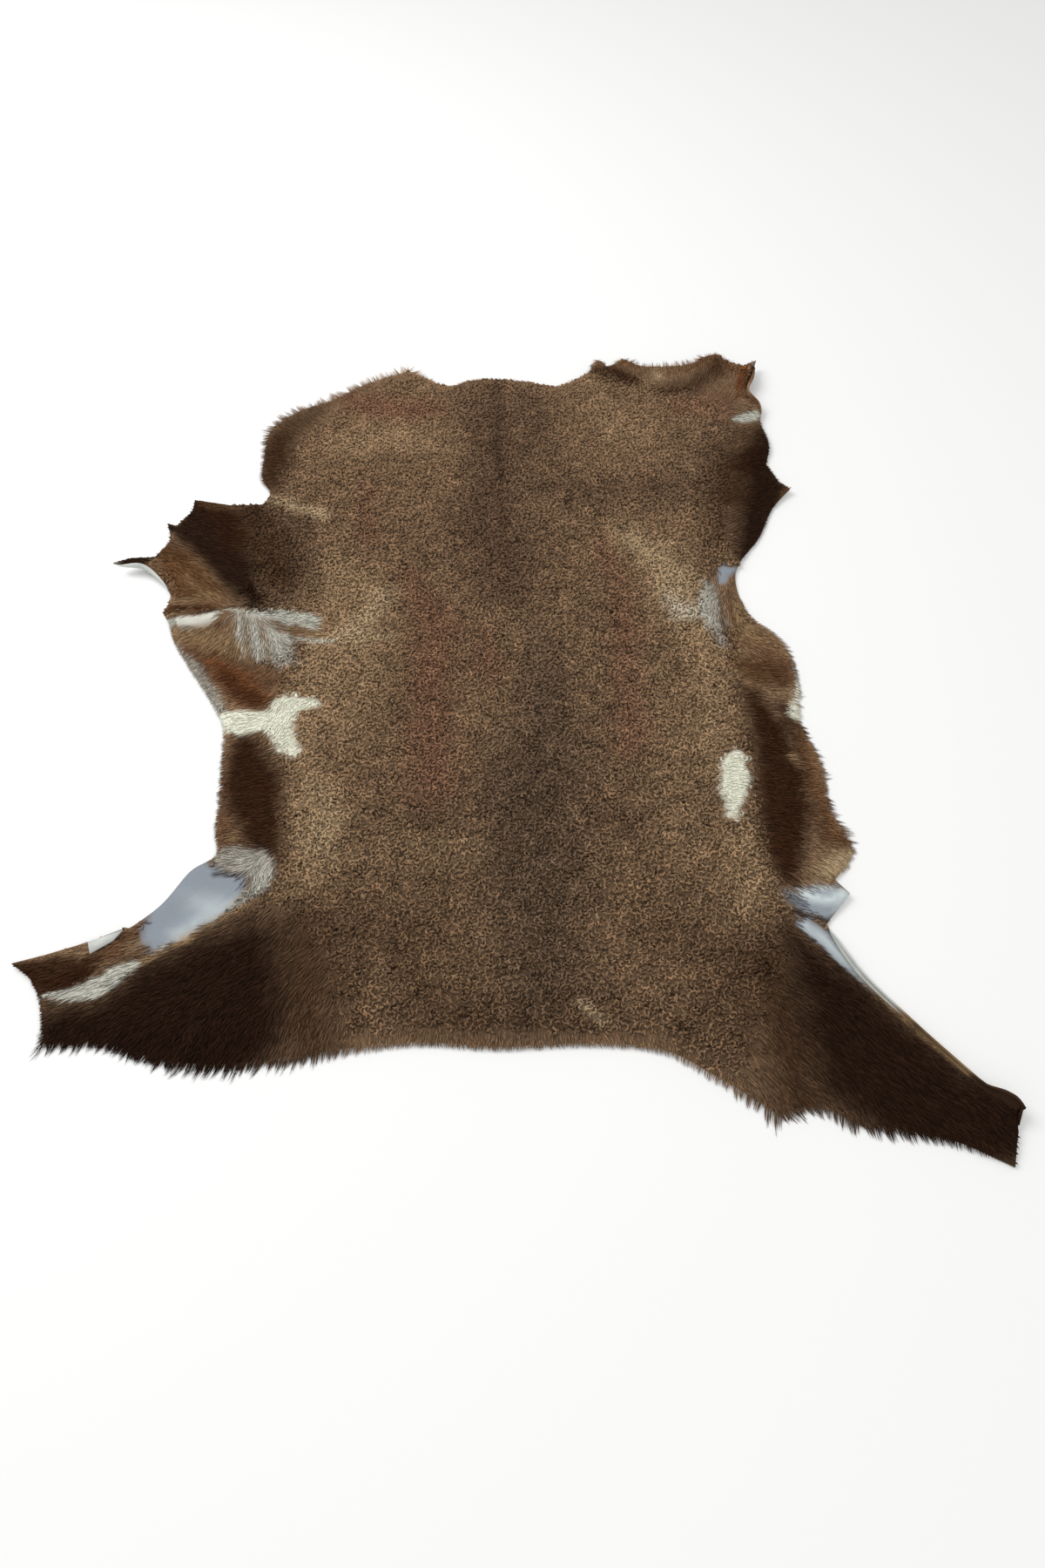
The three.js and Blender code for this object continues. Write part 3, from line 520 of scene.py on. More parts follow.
    Stroke("left shin", "hazel", ((-372, -326, 12), (-392, -336, 14), (-416, -346, 12)), 12, 0.95),
    Stroke("left shin, pale", "tan", ((-374, -324, 6), (-388, -340, 8)), 14, 0.6),
    Stroke("left hind toe", "cocoa",
           ((-504, -357, 7), (-462, -366, 15), (-434, -362, 13), (-418, -356, 5)), 10, 0.92),
    Stroke("left hind toe, low", "cocoa",
           ((-496, -368, 8), (-470, -380, 11), (-440, -376, 9), (-420, -364, 5)), 6, 0.92),
    Stroke("left bare groin", "bare",
           ((-338, -262, 18), (-332, -284, 36), (-352, -306, 32), (-372, -326, 16),
            (-366, -340, 10)), 7, 1, 1.5),
    Stroke("left bare groin, inner", "bare", ((-302, -276, 15), (-312, -294, 14)), 10, 1, 2),
    Stroke("left bare groin, pale", "bare_pale", ((-345, -285, 5), (-325, -300, 12)), 30, 0.4, 3),
    Stroke("left bare groin, low pale", "bare_pale",
           ((-352, -330, 3), (-322, -312, 4), (-298, -298, 4)), 26, 0.6, 3),
    Stroke("left bare groin, shade", "bare",
           ((-372, -318, 5), (-350, -290, 5), (-336, -264, 5)), 12, 0.6, 1),
    # Painted shade in the left groin crease
    Stroke("left groin crease", "crease_shade",
           ((-335, -257, 0.8), (-318, -262, 1.3), (-302, -263, 1.2), (-286, -262, 0.6)), 2, 0.85, 0.3),
    Stroke("left groin arc", "ash", ((-268, -262, 9), (-272, -282, 11), (-296, -302, 6)), 8, 0.97, 3),
    Stroke("left groin arc, white", "white",
           ((-290, -250, 6), (-266, -262, 6), (-270, -284, 7)), 10, 0.5, 2),
    Stroke("left thigh pale", "ash", ((-300, -304, 2), (-336, -328, 3), (-366, -348, 3)), 9, 0.85, 2),
    Stroke("left thigh line", "tan",
           ((-276, -298, 3), (-302, -312, 3), (-336, -335, 3), (-372, -356, 3),
            (-394, -365, 3)), 5, 0.9, 1.5),
    Stroke("left hind stripe", "white",
           ((-466, -388, 1.5), (-440, -389, 5.5), (-420, -385, 9), (-403, -374, 8),
            (-380, -359, 3)), 5, 0.97, 1.5),
]

# Where the coat is straight hair and not curled wool, with the hair's length
STRAIGHT = [
    Stroke("left shoulder", 12,
           ((-110, 558, 8), (-190, 530, 16), (-245, 490, 24), (-292, 435, 26), (-302, 380, 20),
            (-302, 325, 12)), 30),
    Stroke("left foreleg", 14,
           ((-420, 215, 40), (-375, 255, 52), (-365, 175, 50), (-350, 125, 30), (-395, 118, 20)), 30),
    Stroke("left toe", 9, ((-486, 195, 12), (-440, 195, 16)), 10),
    Stroke("left armpit", 18, ((-385, 60, 34), (-325, 60, 44), (-262, 72, 24), (-238, 68, 20)), 16),
    Stroke("left flank", 15, ((-350, 0, 34), (-300, -10, 30), (-305, -62, 26), (-278, -62, 16)), 16),
    Stroke("left cream patch, up", 8, ((-270, -55, 18), (-228, -46, 10)), 10),
    Stroke("left cream patch, down", 8, ((-262, -80, 14), (-248, -110, 8)), 10),
    Stroke("right wool spot", 7, ((238, -148, 9), (233, -170, 16), (228, -196, 16), (221, -224, 8)), 10),
    Stroke("left waist", 14, ((-300, -110, 36), (-295, -190, 40), (-288, -250, 34)), 18),
    Stroke("left thigh", 14, ((-262, -352, 44), (-240, -380, 40)), 40),
    Stroke("left hind leg", 18,
           ((-480, -375, 40), (-390, -395, 76), (-300, -375, 70), (-250, -430, 68)), 50),
    Stroke("left rump", 15, ((-230, -462, 18), (-190, -462, 12)), 26),
    Stroke("right hind leg", 18,
           ((272, -372, 22), (300, -430, 44), (330, -500, 62), (390, -565, 50), (270, -530, 50)), 44),
    Stroke("right thigh", 14, ((262, -375, 10), (246, -440, 28), (215, -520, 34)), 56),
    Stroke("right rump", 15, ((212, -540, 30), (180, -520, 14)), 30),
    Stroke("tail hem", 9,
           ((-200, -460, 12), (-119, -456, 12), (-40, -462, 10), (50, -466, 10), (112, -476, 12)), 14),
    Stroke("right groin", 12, ((280, -310, 24), (275, -345, 14)), 12),
    Stroke("right flank", 14, ((298, 20, 30), (302, -60, 42), (302, -200, 50), (298, -285, 42)), 18),
    Stroke("right armpit", 18, ((266, 130, 18), (258, 60, 20)), 14),
    Stroke("right foreleg", 13, ((312, 170, 26), (322, 225, 36), (345, 285, 44), (350, 380, 36)), 34),
    Stroke("right shoulder", 11,
           ((352, 425, 26), (345, 480, 36), (300, 535, 40), (200, 556, 24), (150, 560, 16)), 30),
]

# Bare skin with hardly any hair
BARE = [
    Stroke("left groin", 1,
           ((-338, -262, 18), (-332, -284, 36), (-352, -306, 32), (-372, -326, 15),
            (-366, -338, 9)), 7, 1, 1.5),
    Stroke("left groin, inner", 1, ((-302, -276, 13), (-312, -294, 12)), 8, 1, 2),
    Stroke("left armpit strip", 1,
           ((-412, 93, 2), (-390, 94, 6), (-364, 93, 8), (-350, 101, 4)), 3, ragged=1),
    Stroke("right armpit", 1, ((290, 143, 4), (272, 141, 9), (266, 124, 6)), 6, ragged=1),
    Stroke("right groin", 1, ((278, -322, 8), (294, -328, 20), (318, -331, 14)), 6, ragged=1),
    Stroke("right groin strip", 1,
           ((272, -354, 8), (290, -374, 11), (306, -398, 9), (326, -428, 5)), 4, ragged=1),
]

# Where a rolled edge shows the pale flesh side, and not hair
FLESHY = [
    Stroke("left toe", 1, ((-480, 185, 20), (-440, 165, 24), (-420, 140, 14)), 10),
    Stroke("right shin", 1, ((290, -355, 16), (312, -395, 16), (335, -440, 12)), 24),
]


class Comb(NamedTuple):
    """The way the hair lies at a place, in degrees from +X, towards the tips."""

    x: float
    y: float
    way: float


COMBING = [Comb(*row) for row in (
    (0, 500, 95), (-110, 530, 95), (-190, 500, 112), (-270, 440, 130), (-300, 350, 170),
    (-330, 275, 168), (-390, 260, 165), (-380, 200, 158), (-400, 150, 138), (-350, 125, 145),
    (-470, 195, 175), (-385, 110, 190), (-385, 70, 205), (-345, 60, 230), (-310, 70, 275),
    (-290, 40, 280), (-285, 92, 345), (-245, 78, 350), (-250, 50, 335), (-340, 0, 215),
    (-300, -20, 200), (-300, -62, 182), (-255, -80, 250), (-300, -130, 186), (-300, -200, 188),
    (-270, -160, 192), (-290, -245, 170), (-272, -275, 250), (-330, -290, 200), (-390, -335, 205),
    (-460, -358, 185), (-440, -388, 190), (-380, -390, 205), (-300, -370, 215), (-440, -445, 235),
    (-360, -455, 238), (-280, -460, 244), (-210, -455, 255), (0, -440, 270), (120, -470, 285),
    (200, -530, 300), (260, -540, 305), (330, -560, 308), (390, -580, 312), (270, -400, 312),
    (320, -470, 308), (400, -540, 320), (285, -325, 320), (310, -285, 335), (320, -200, 350),
    (280, -200, 340), (280, -80, 345), (310, -40, 352), (300, 20, 330), (265, 40, 275),
    (250, 70, 262), (245, 100, 240), (272, 115, 270), (310, 170, 20), (330, 230, 15),
    (360, 280, 15), (350, 360, 5), (360, 430, 340), (345, 480, 60), (300, 540, 82),
    (240, 550, 92), (170, 555, 95),
)]

# How softly the combing blends, in mm, and how fast the pull of a place falls off
COMB_BLEND = 8
COMB_FOCUS = 4

# Starts of the draws of random numbers, one for each use
SEEDS = {"border": 3, "comb": 5, "ground": 7, "curls": 17, "hair": 29, "fringe": 41, "tuft": 53,
         "glints": 61, "skin mottle": 71, "coat mottle": 91}


def colour(hex_code):
    """The linear colour of a written one."""
    parts = [int(hex_code[k:k + 2], 16) / 255 for k in (1, 3, 5)]
    return [part / 12.92 if part <= 0.04045 else ((part + 0.055) / 1.055) ** 2.4 for part in parts]


def tint(name, hex_code, description):
    return FloatVectorProperty(
        name=name, description=description, subtype="COLOR", size=3, min=0, max=1, default=colour(hex_code)
    )


def length(name, default, description):
    """A size in mm."""
    return FloatProperty(name=name, description=description, default=default, min=0)


class CoatColours(bpy.types.PropertyGroup):
    """Colours of the wool, the hair and the skin, and a painted shade for creases."""

    wool: tint("Wool", "#8B7056", "Most of the wool on the back")
    fawn: tint("Fawn", "#AD9170", "Paler wool over the ribs")
    rosy: tint("Rosy", "#88604C", "Reddish patches on the back")
    drab: tint("Drab", "#5F4E3F", "Greyish wool along the lower spine")
    umber: tint("Umber", "#68513F", "Darker wool along the spine")
    # Painted shade for the bottoms of creases and the edges of folds
    crease_shade: tint("Crease shade", "#3A2B22", "The bottoms of creases")
    buff: tint("Buff", "#C8B28F", "Small pale marks")
    chestnut: tint("Chestnut", "#452F1E", "Dark wool where the legs begin")
    sable: tint("Sable", "#27160D", "The darkest hair, on legs and flanks")
    cocoa: tint("Cocoa", "#382011", "Dark brown hair on the flanks")
    bark: tint("Bark", "#6A4C33", "Hair at the head end")
    mauve: tint("Mauve", "#80604A", "Pinkish brown hair on the shoulder")
    hazel: tint("Hazel", "#6E5039", "Brown hair on the lower legs")
    rust: tint("Rust", "#784B2D", "Rusty hair on the left flank")
    russet: tint("Russet", "#4E2F1B", "Dark rusty hair")
    tawny: tint("Tawny", "#6B4A2E", "Hair on the right flank")
    tan: tint("Tan", "#957A5A", "Tan hair in the armpits and on edges")
    ash: tint("Ash", "#A8A398", "Grey and white hair")
    white: tint("White", "#C9C8BC", "White stripes")
    cream: tint("Cream", "#F0F0DE", "Cream patches")
    bare: tint("Bare skin", "#848B93", "Bare skin in the groins")
    bare_pale: tint("Pale bare skin", "#C6CFCF", "The bare fold in the left armpit")
    flesh: tint("Flesh side", "#C2C4BF", "The tanned underside, at rolled edges")
    floor: tint("Floor", "#EDEDEC", "The studio floor")


class PeltSizes(bpy.types.PropertyGroup):
    """Sizes of the skin and of the curls and hairs, in mm."""

    skin: length("Skin", 1.8, "Thickness of the tanned skin")
    skin_step: length("Skin step", 10, "Spacing of the points of the skin")
    ground_step: length("Wool step", 6, "Spacing of the points of the wool's ground")
    rim_step: length("Rim step", 3, "Spacing of the points of the rim")
    curl_pitch: length("Curl spacing", 4.85, "Distance from one curl to the next")
    curl_long: length("Curl length", 9.5, "Length of a curl along its arc")
    curl_thick: length("Curl thickness", 2.0, "Radius of a curl at its middle")
    curl_high: length("Curl height", 2.0, "Height of a curl's middle over its ends")
    hair_pitch: length("Hair spacing", 2.7, "Distance from one straight hair lock to the next")
    hair_thick: length("Hair thickness", 0.85, "Half width of a hair lock near its root")
    fringe_pitch: length("Fringe spacing", 1.0, "Distance from one fringe hair to the next")
    fringe_tuft: length("Fringe tuft", 8, "Width of a tuft of the fringe")


class StudioSettings(bpy.types.PropertyGroup):
    """The camera and the lights."""

    pitch: FloatProperty(
        name="Pitch", description="Angle of the view up from straight down", default=math.radians(35),
        subtype="ANGLE"
    )
    lens: FloatProperty(name="Lens", description="Focal length of the camera in mm", default=26.0)
    key: FloatProperty(name="Key light", description="Power of the large light", default=42.0, unit="POWER")
    ambient: FloatProperty(name="Ambient", description="Strength of the pale surroundings", default=0.74)
    shadow_side: IntProperty(name="Shadow side", description="1: the shadow falls to the right", default=1)


def smoothstep(value, low, high):
    share = np.clip((value - low) / (high - low), 0, 1)
    return share * share * (3 - 2 * share)


# Random values are kept on a square grid with this many knots a side, and each seed turns
# the grid by this many radians
LATTICE = 256
LATTICE_TURN = 0.7


def drift(places, size, seed):
    """Smooth random values from -1 to 1 that change over about that many mm."""
    knots = np.random.default_rng(seed).uniform(-1, 1, (LATTICE, LATTICE))
    turn = LATTICE_TURN * seed
    x = (places[..., 0] * math.cos(turn) + places[..., 1] * math.sin(turn)) / size
    y = (places[..., 1] * math.cos(turn) - places[..., 0] * math.sin(turn)) / size
    column, row = np.floor(x).astype(int), np.floor(y).astype(int)
    across, up = smoothstep(x - column, 0, 1), smoothstep(y - row, 0, 1)
    low = knots[row % LATTICE, column % LATTICE] * (1 - across)
    low = low + knots[row % LATTICE, (column + 1) % LATTICE] * across
    high = knots[(row + 1) % LATTICE, column % LATTICE] * (1 - across)
    high = high + knots[(row + 1) % LATTICE, (column + 1) % LATTICE] * across
    return low * (1 - up) + high * up


def uneven(places, waves, seed):
    """The sum of random waves, each given by its height and its size in mm."""
    return sum(high * drift(places, size, seed + k) for k, (high, size) in enumerate(waves))


def line_gap(places, start, end):
    """Distance of each place from a straight line, and its share along the line."""
    step = np.subtract(end, start).astype(float)
    share = np.clip((places - start) @ step / max(step @ step, 1e-9), 0, 1)
    return np.linalg.norm(places - start - share[:, None] * step, axis=1), share


def cover(places, stroke, ragged):
    """How much of a stroke lies on each place, from 0 to 1."""
    gap = np.full(len(places), np.inf)
    for (x1, y1, wide1), (x2, y2, wide2) in zip(stroke.line[:-1], stroke.line[1:]):
        away, share = line_gap(places, (x1, y1), (x2, y2))
        gap = np.minimum(gap, away - wide1 - share * (wide2 - wide1))
    gap = gap + stroke.ragged * ragged
    return stroke.strength * (1 - smoothstep(gap, -stroke.soft / 2, stroke.soft / 2))


def as_seen(places):
    """Where against the floor the camera sees places on the coat."""
    return EYE + (places - EYE) / (1 - MARK_HEIGHT / EYE_HEIGHT)


def raggedness(places):
    """What makes the borders of strokes uneven, from about -1.5 to 1.5."""
    return uneven(places, BORDER_WAVES, SEEDS["border"])


def smooth_span(before, start, end, after, share):
    """Points on the smooth curve from start to end, as the frame's rim runs."""
    root = [math.sqrt(math.dist(a, b)) for a, b in ((before, start), (start, end), (end, after))]
    leave = (start - before) / root[0] - (end - before) / (root[0] + root[1]) + (end - start) / root[1]
    reach = (end - start) / root[1] - (after - start) / (root[1] + root[2]) + (after - end) / root[2]
    leave, reach = leave * root[1], reach * root[1]
    share = share[:, None]
    square = share * share
    curve = start + leave * share + (3 * (end - start) - 2 * leave - reach) * square
    return curve + (2 * (start - end) + leave + reach) * square * share


def crossing(ring):
    """The first two pieces of a closed line that cross each other, or None."""
    step = np.roll(ring, -1, axis=0) - ring
    gap = ring[None] - ring[:, None]
    turned = step[:, None, 0] * step[None, :, 1] - step[:, None, 1] * step[None, :, 0]
    turned[np.abs(turned) < 1e-12] = 1e-12
    here = (gap[..., 0] * step[None, :, 1] - gap[..., 1] * step[None, :, 0]) / turned
    there = (gap[..., 0] * step[:, None, 1] - gap[..., 1] * step[:, None, 0]) / turned
    crosses = (here >= 0) & (here <= 1) & (there >= 0) & (there <= 1)
    first, second = np.nonzero(np.triu(crosses, 2))
    apart = second - first < len(ring) - 1
    return (first[apart][0], second[apart][0]) if apart.any() else None


def without_loops(ring):
    """Which points of a closed line to keep, so that it doesn't cross itself."""
    kept = np.arange(len(ring))
    while (found := crossing(ring[kept])) is not None:
        first, second = found
        if 2 * (second - first) < len(kept):
            kept = np.delete(kept, np.arange(first + 1, second + 1))
        else:
            kept = kept[first + 1:second + 1]
    return kept


def trace_rim(step):
    """The rim with a smooth curve from each sharp corner to the next, and the skin's own
    edge inside it. A loop of that edge, where it turns tightly, is left out."""
    corners = [index for index, row in enumerate(RIM) if row.corner]
    tips, values = [], []
    for turn, first in enumerate(corners):
        spans = (corners[(turn + 1) % len(corners)] - first) % len(RIM)
        rows = [RIM[(first + k) % len(RIM)] for k in range(spans + 1)]
        places = np.array([(row.x, row.y) for row in rows], float)
        places = np.vstack([2 * places[0] - places[1], places, 2 * places[-1] - places[-2]])
        for span in range(spans):
            steps = max(1, round(math.dist(places[span + 1], places[span + 2]) / step))
            share = np.arange(steps) / steps
            tips.append(smooth_span(*places[span:span + 4], share))
            start, end = (np.array([row.hair, row.roll, row.lift]) for row in rows[span:span + 2])
            values.append(start + share[:, None] * (end - start))
    tips, values = np.vstack(tips), np.vstack(values)
    ahead = np.roll(tips, -1, axis=0) - np.roll(tips, 1, axis=0)
    out = np.stack([ahead[:, 1], -ahead[:, 0]], axis=1)
    out /= np.linalg.norm(out, axis=1, keepdims=True)
    inset = np.maximum(values[:, 0], values[:, 1])
    edge = tips - out * inset[:, None]
    kept = without_loops(edge)
    return SimpleNamespace(
        tip=tips[kept], out=out[kept], edge=edge[kept], hair=values[kept, 0], roll=values[kept, 1],
        lift=values[kept, 2]
    )


# How many places are looked at together, to save memory
CHUNK = 4000


def nearest(places, ring):
    """Distance of each place from a closed line, the nearest piece, the share along it, and
    whether the place is inside."""
    step = np.roll(ring, -1, axis=0) - ring
    square = np.maximum((step ** 2).sum(1), 1e-12)
    gaps, pieces, shares, insides = [], [], [], []
    for start in range(0, len(places), CHUNK):
        part = places[start:start + CHUNK]
        x, y = part[:, :1] - ring[:, 0], part[:, 1:2] - ring[:, 1]
        share = np.clip((x * step[:, 0] + y * step[:, 1]) / square, 0, 1)
        gap = (x - share * step[:, 0]) ** 2 + (y - share * step[:, 1]) ** 2
        piece = gap.argmin(1)
        rows = np.arange(len(part))
        gaps.append(np.sqrt(gap[rows, piece]))
        pieces.append(piece)
        shares.append(share[rows, piece])
        ends = y - step[:, 1]
        crosses = (y >= 0) != (ends >= 0)
        rise = np.where(np.abs(step[:, 1]) < 1e-9, 1e-9, step[:, 1])
        insides.append((crosses & (x < step[:, 0] * y / rise)).sum(1) % 2 == 1)
    return SimpleNamespace(
        gap=np.concatenate(gaps), piece=np.concatenate(pieces), share=np.concatenate(shares),
        inside=np.concatenate(insides)
    )


def coat_height(places):
    """Height of the wool or hair over the skin, away from the edge."""
    wool = np.full(len(places), BACK_WOOL)
    for oval in COAT:
        lean = math.radians(oval.lean)
        x, y = places[:, 0] - oval.x, places[:, 1] - oval.y
        along = (x * math.cos(lean) + y * math.sin(lean)) / oval.long
        across = (y * math.cos(lean) - x * math.sin(lean)) / oval.wide
        away = smoothstep(np.hypot(along, across), COAT_FULL, COAT_GONE)
        wool = oval.wool + (wool - oval.wool) * away
    return wool


def fold_height(places):
    rise = np.zeros(len(places))
    for fold in FOLDS:
        gap, _ = line_gap(places, fold.start, fold.end)
        rise += fold.rise * np.exp(-((gap / fold.wide) ** 2))
    return rise


def lump_height(places):
    rise = np.zeros(len(places))
    for high, length_x, length_y, phase in LUMPS:
        wave = np.sin(2 * np.pi * places[:, 0] / length_x + phase)
        rise += high * wave * np.sin(2 * np.pi * places[:, 1] / length_y - phase)
    return rise


def combing(places):
    """Unit directions in which the hair lies, with a slight wander."""
    ways = np.radians([row.way for row in COMBING])
    spots = np.array([(row.x, row.y) for row in COMBING], float)
    gap = np.linalg.norm(places[:, None] - spots, axis=2)
    weight = 1 / (gap + COMB_BLEND) ** COMB_FOCUS
    along = weight @ np.stack([np.cos(ways), np.sin(ways)], axis=1)
    turn = np.arctan2(along[:, 1], along[:, 0]) + uneven(places, COMB_WAVES, SEEDS["comb"])
    return np.stack([np.cos(turn), np.sin(turn)], axis=1)


class Pelt:
    """What is known of each place on the pelt."""

    def __init__(self, sizes, colours):
        self.sizes = sizes
        self.colours = colours
        self.rim = trace_rim(sizes.rim_step)

    def surface(self, places):
        """Depth inside the skin's edge, lift of the skin, height of the coat's top and of
        the bottom of the curls, and the nearest point of the rim."""
        found = nearest(places, self.rim.edge)
        depth = np.where(found.inside, found.gap, -found.gap)
        following = (found.piece + 1) % len(self.rim.lift)
        lift = self.rim.lift[found.piece] * (1 - found.share) + self.rim.lift[following] * found.share
        hair = self.rim.hair[found.piece] * (1 - found.share) + self.rim.hair[following] * found.share
        lift = lift * (1 - smoothstep(depth, 0, LIFT_REACH))
        coat = coat_height(places)
        full = smoothstep(np.maximum(depth, 0), -WOOL_FALL / 2, WOOL_FALL)
        tall = coat / BACK_WOOL
        edge_wool = np.minimum(EDGE_WOOL, coat)
        wool = edge_wool + (coat + lump_height(places) * tall - edge_wool) * full
        wool = np.maximum(wool + fold_height(places) * full, LEAST_WOOL)
        fine = uneven(places, TUFT_LUMPS, SEEDS["ground"])
        rounded = GROUND_AT_EDGE + (1 - GROUND_AT_EDGE) * smoothstep(depth, *GROUND_ROUND)
        ground = np.maximum(wool * GROUND_SHARE + fine * tall * full, LEAST_WOOL) * rounded
        return SimpleNamespace(
            depth=depth, lift=lift, hair=hair, piece=found.piece, top=lift + SKIN + wool,
            ground=lift + SKIN + ground
        )

    def straightness(self, places):
        """Share of straight hair, its length, and the share of bare skin."""
        places = as_seen(places)
        ragged = raggedness(places)
        share = np.zeros(len(places))
        long = np.full(len(places), USUAL_HAIR)
        for stroke in STRAIGHT:
            part = cover(places, stroke, ragged)
            share = np.maximum(share, part)
            long += (stroke.value - long) * part
        bare = np.zeros(len(places))
        for stroke in BARE:
            bare = np.maximum(bare, cover(places, stroke, ragged))
        return share, long, bare

    def shades(self, places):
        """The coat's colour at each place."""
        places = as_seen(places)
        ragged = raggedness(places)
        shade = np.tile(np.array(self.colours.wool), (len(places), 1))
        mottle = 1 + uneven(places, COAT_MOTTLE, SEEDS["coat mottle"])
        shade *= mottle[:, None]
        for stroke in MARKINGS:
            part = cover(places, stroke, ragged)[:, None]
            shade += (np.array(getattr(self.colours, stroke.value)) - shade) * part
        return shade


def to_frame(places):
    """Millimetres on the pelt to metres in the frame, by the low corner of the CAD part."""
    low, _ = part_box(NODE)
    toe_x = min(row.x for row in RIM)
    heel_y = min(row.y for row in RIM)
    return places * MM + np.array([low.x - toe_x * MM, low.y - heel_y * MM, 0])


# What the triangulation is asked for: only the inside, and points as near as this joined
INSIDE_ONLY = 1
JOINED = 1e-6


def triangulated(ring, inner):
    """Triangles of the area inside a closed line through points in it. The first points of
    the result are those of the line."""
    points = [Vector(place) for place in np.vstack([ring, inner]).tolist()]
    outline = [list(range(len(ring)))]
    places, _, faces, *_ = delaunay_2d_cdt(points, [], outline, INSIDE_ONLY, JOINED)
    if len(places) != len(points):
        raise RuntimeError("the edge of the skin crosses itself")
    return np.array([place.to_tuple() for place in places]), np.array(faces)


def honeycomb(pitch, wobble, seed, margin=6):
    """Evenly spread places over the pelt's box, each a little out of line."""
    low = np.array([min(row.x for row in RIM), min(row.y for row in RIM)]) - margin
    high = np.array([max(row.x for row in RIM), max(row.y for row in RIM)]) + margin
    rise = pitch * math.sqrt(3) / 2
    x, y = np.meshgrid(np.arange(low[0], high[0], pitch), np.arange(low[1], high[1], rise))
    x = x + pitch / 2 * (np.arange(len(x)) % 2)[:, None]
    places = np.stack([x.ravel(), y.ravel()], axis=1)
    return places + np.random.default_rng(seed).uniform(-wobble, wobble, places.shape) * pitch


def slab(ring, upper, lower, top_of, bottom_of):
    """A closed slab inside a ring: its upper and lower faces have their own points."""
    flat_top, top_faces = triangulated(ring, upper)
    flat_bottom, bottom_faces = triangulated(ring, lower)
    top = np.column_stack([flat_top, top_of(flat_top)])
    bottom = np.column_stack([flat_bottom, bottom_of(flat_bottom)])
    index = np.arange(len(ring))
    following = np.roll(index, -1)
    base = len(top)
    walls = np.vstack([
        np.stack([index, index + base, following + base], axis=1),
        np.stack([index, following + base, following], axis=1),
    ])
    faces = np.vstack([top_faces, bottom_faces[:, ::-1] + base, walls])
    return np.vstack([top, bottom]), faces, len(top_faces)


UP = np.array([0.0, 0.0, 1.0])

# Strands have three sides, turned so that an edge runs along the top. Each has its own cell
# of the map with a free margin, and its root end takes a corner of the cell.
SIDES = 3
STRAND_TURN = 0.75
CELL_MARGIN = 0.06
ROOT_CELL = [(0, 0), (0.15, 0), (0, 0.1)]


def strands(spines, radii, flat=1.0):
    """Closed tapered tubes, one along each row of spines. Returns places, faces, the share
    from root to tip of each place, how near the top of the tube it is, and a cell of the
    map for each tube."""
    count, rings = radii.shape
    ahead = np.gradient(spines, axis=1)
    ahead /= np.linalg.norm(ahead, axis=2, keepdims=True)
    side = np.cross(ahead, UP)
    side /= np.maximum(np.linalg.norm(side, axis=2, keepdims=True), 1e-6)
    over = np.cross(side, ahead)
    turn = 2 * np.pi * (np.arange(SIDES) + STRAND_TURN) / SIDES
    sideways = np.cos(turn)[:, None] * side[:, :-1, None]
    around = sideways + flat * np.sin(turn)[:, None] * over[:, :-1, None]
    walls = spines[:, :-1, None] + radii[:, :-1, None, None] * around
    places = np.concatenate([walls.reshape(count, -1, 3), spines[:, -1:]], axis=1)
    faces, cells = [list(range(SIDES))], [ROOT_CELL]
    for ring in range(rings - 1):
        for k in range(SIDES):
            here, after = ring * SIDES + k, ring * SIDES + (k + 1) % SIDES
            low, high = ring / (rings - 1), (ring + 1) / (rings - 1)
            left, right = k / SIDES, (k + 1) / SIDES
            if ring == rings - 2:
                faces.append([here, places.shape[1] - 1, after])
                cells.append([(left, low), ((left + right) / 2, high), (right, low)])
            else:
                faces.append([here, after + SIDES, after])
                cells.append([(left, low), (right, high), (right, low)])
                faces.append([here, here + SIDES, after + SIDES])
                cells.append([(left, low), (left, high), (right, high)])
    offsets = np.arange(count)[:, None, None] * places.shape[1]
    across = math.ceil(math.sqrt(count))
    corner = np.stack([np.arange(count) % across, np.arange(count) // across], axis=1)
    cells = CELL_MARGIN + (1 - 2 * CELL_MARGIN) * np.array(cells)
    uvs = (corner[:, None, None] + cells) / across
    share = np.append(np.repeat(np.arange(rings - 1) / (rings - 1), SIDES), 1.0)
    crest = np.append(np.tile(np.sin(turn) * 0.5 + 0.5, rings - 1), 0.5)
    return SimpleNamespace(
        places=places, faces=(np.array(faces) + offsets).reshape(-1, 3), share=share, crest=crest,
        uvs=uvs.reshape(-1, 2)
    )


# Mean values of a colour between which wool becomes too pale for painted shade in its cracks
PALE = (0.18, 0.5)


def add_piece(name, places, faces, shades, uvs, material, woolly=0.0):
    """Makes a piece from places in mm, rides it on the body and stands it for the node. The
    colour's alpha says how woolly the coat is."""
    mesh = bpy.data.meshes.new(name)
    mesh.vertices.add(len(places))
    mesh.vertices.foreach_set("co", to_frame(places).ravel())
    mesh.loops.add(faces.size)
    mesh.loops.foreach_set("vertex_index", faces.ravel().astype(np.int32))
    mesh.polygons.add(len(faces))
    mesh.polygons.foreach_set("loop_start", np.arange(0, faces.size, 3, dtype=np.int32))
    mesh.update(calc_edges=True)
    coat = mesh.color_attributes.new("Coat", "FLOAT_COLOR", "POINT")
    rgba = np.column_stack([np.clip(shades, 0, 1), np.broadcast_to(woolly, len(shades))])
    coat.data.foreach_set("color", rgba.ravel())
    layer = mesh.uv_layers.new(name="OFBake")
    layer.uv.foreach_set("vector", uvs.ravel())
    mesh.materials.append(material)
    mesh.shade_smooth()
    piece = bpy.data.objects.new(name, mesh)
    bpy.context.scene.collection.objects.link(piece)
    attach(piece, BODY)
    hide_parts(NODE)
    return piece


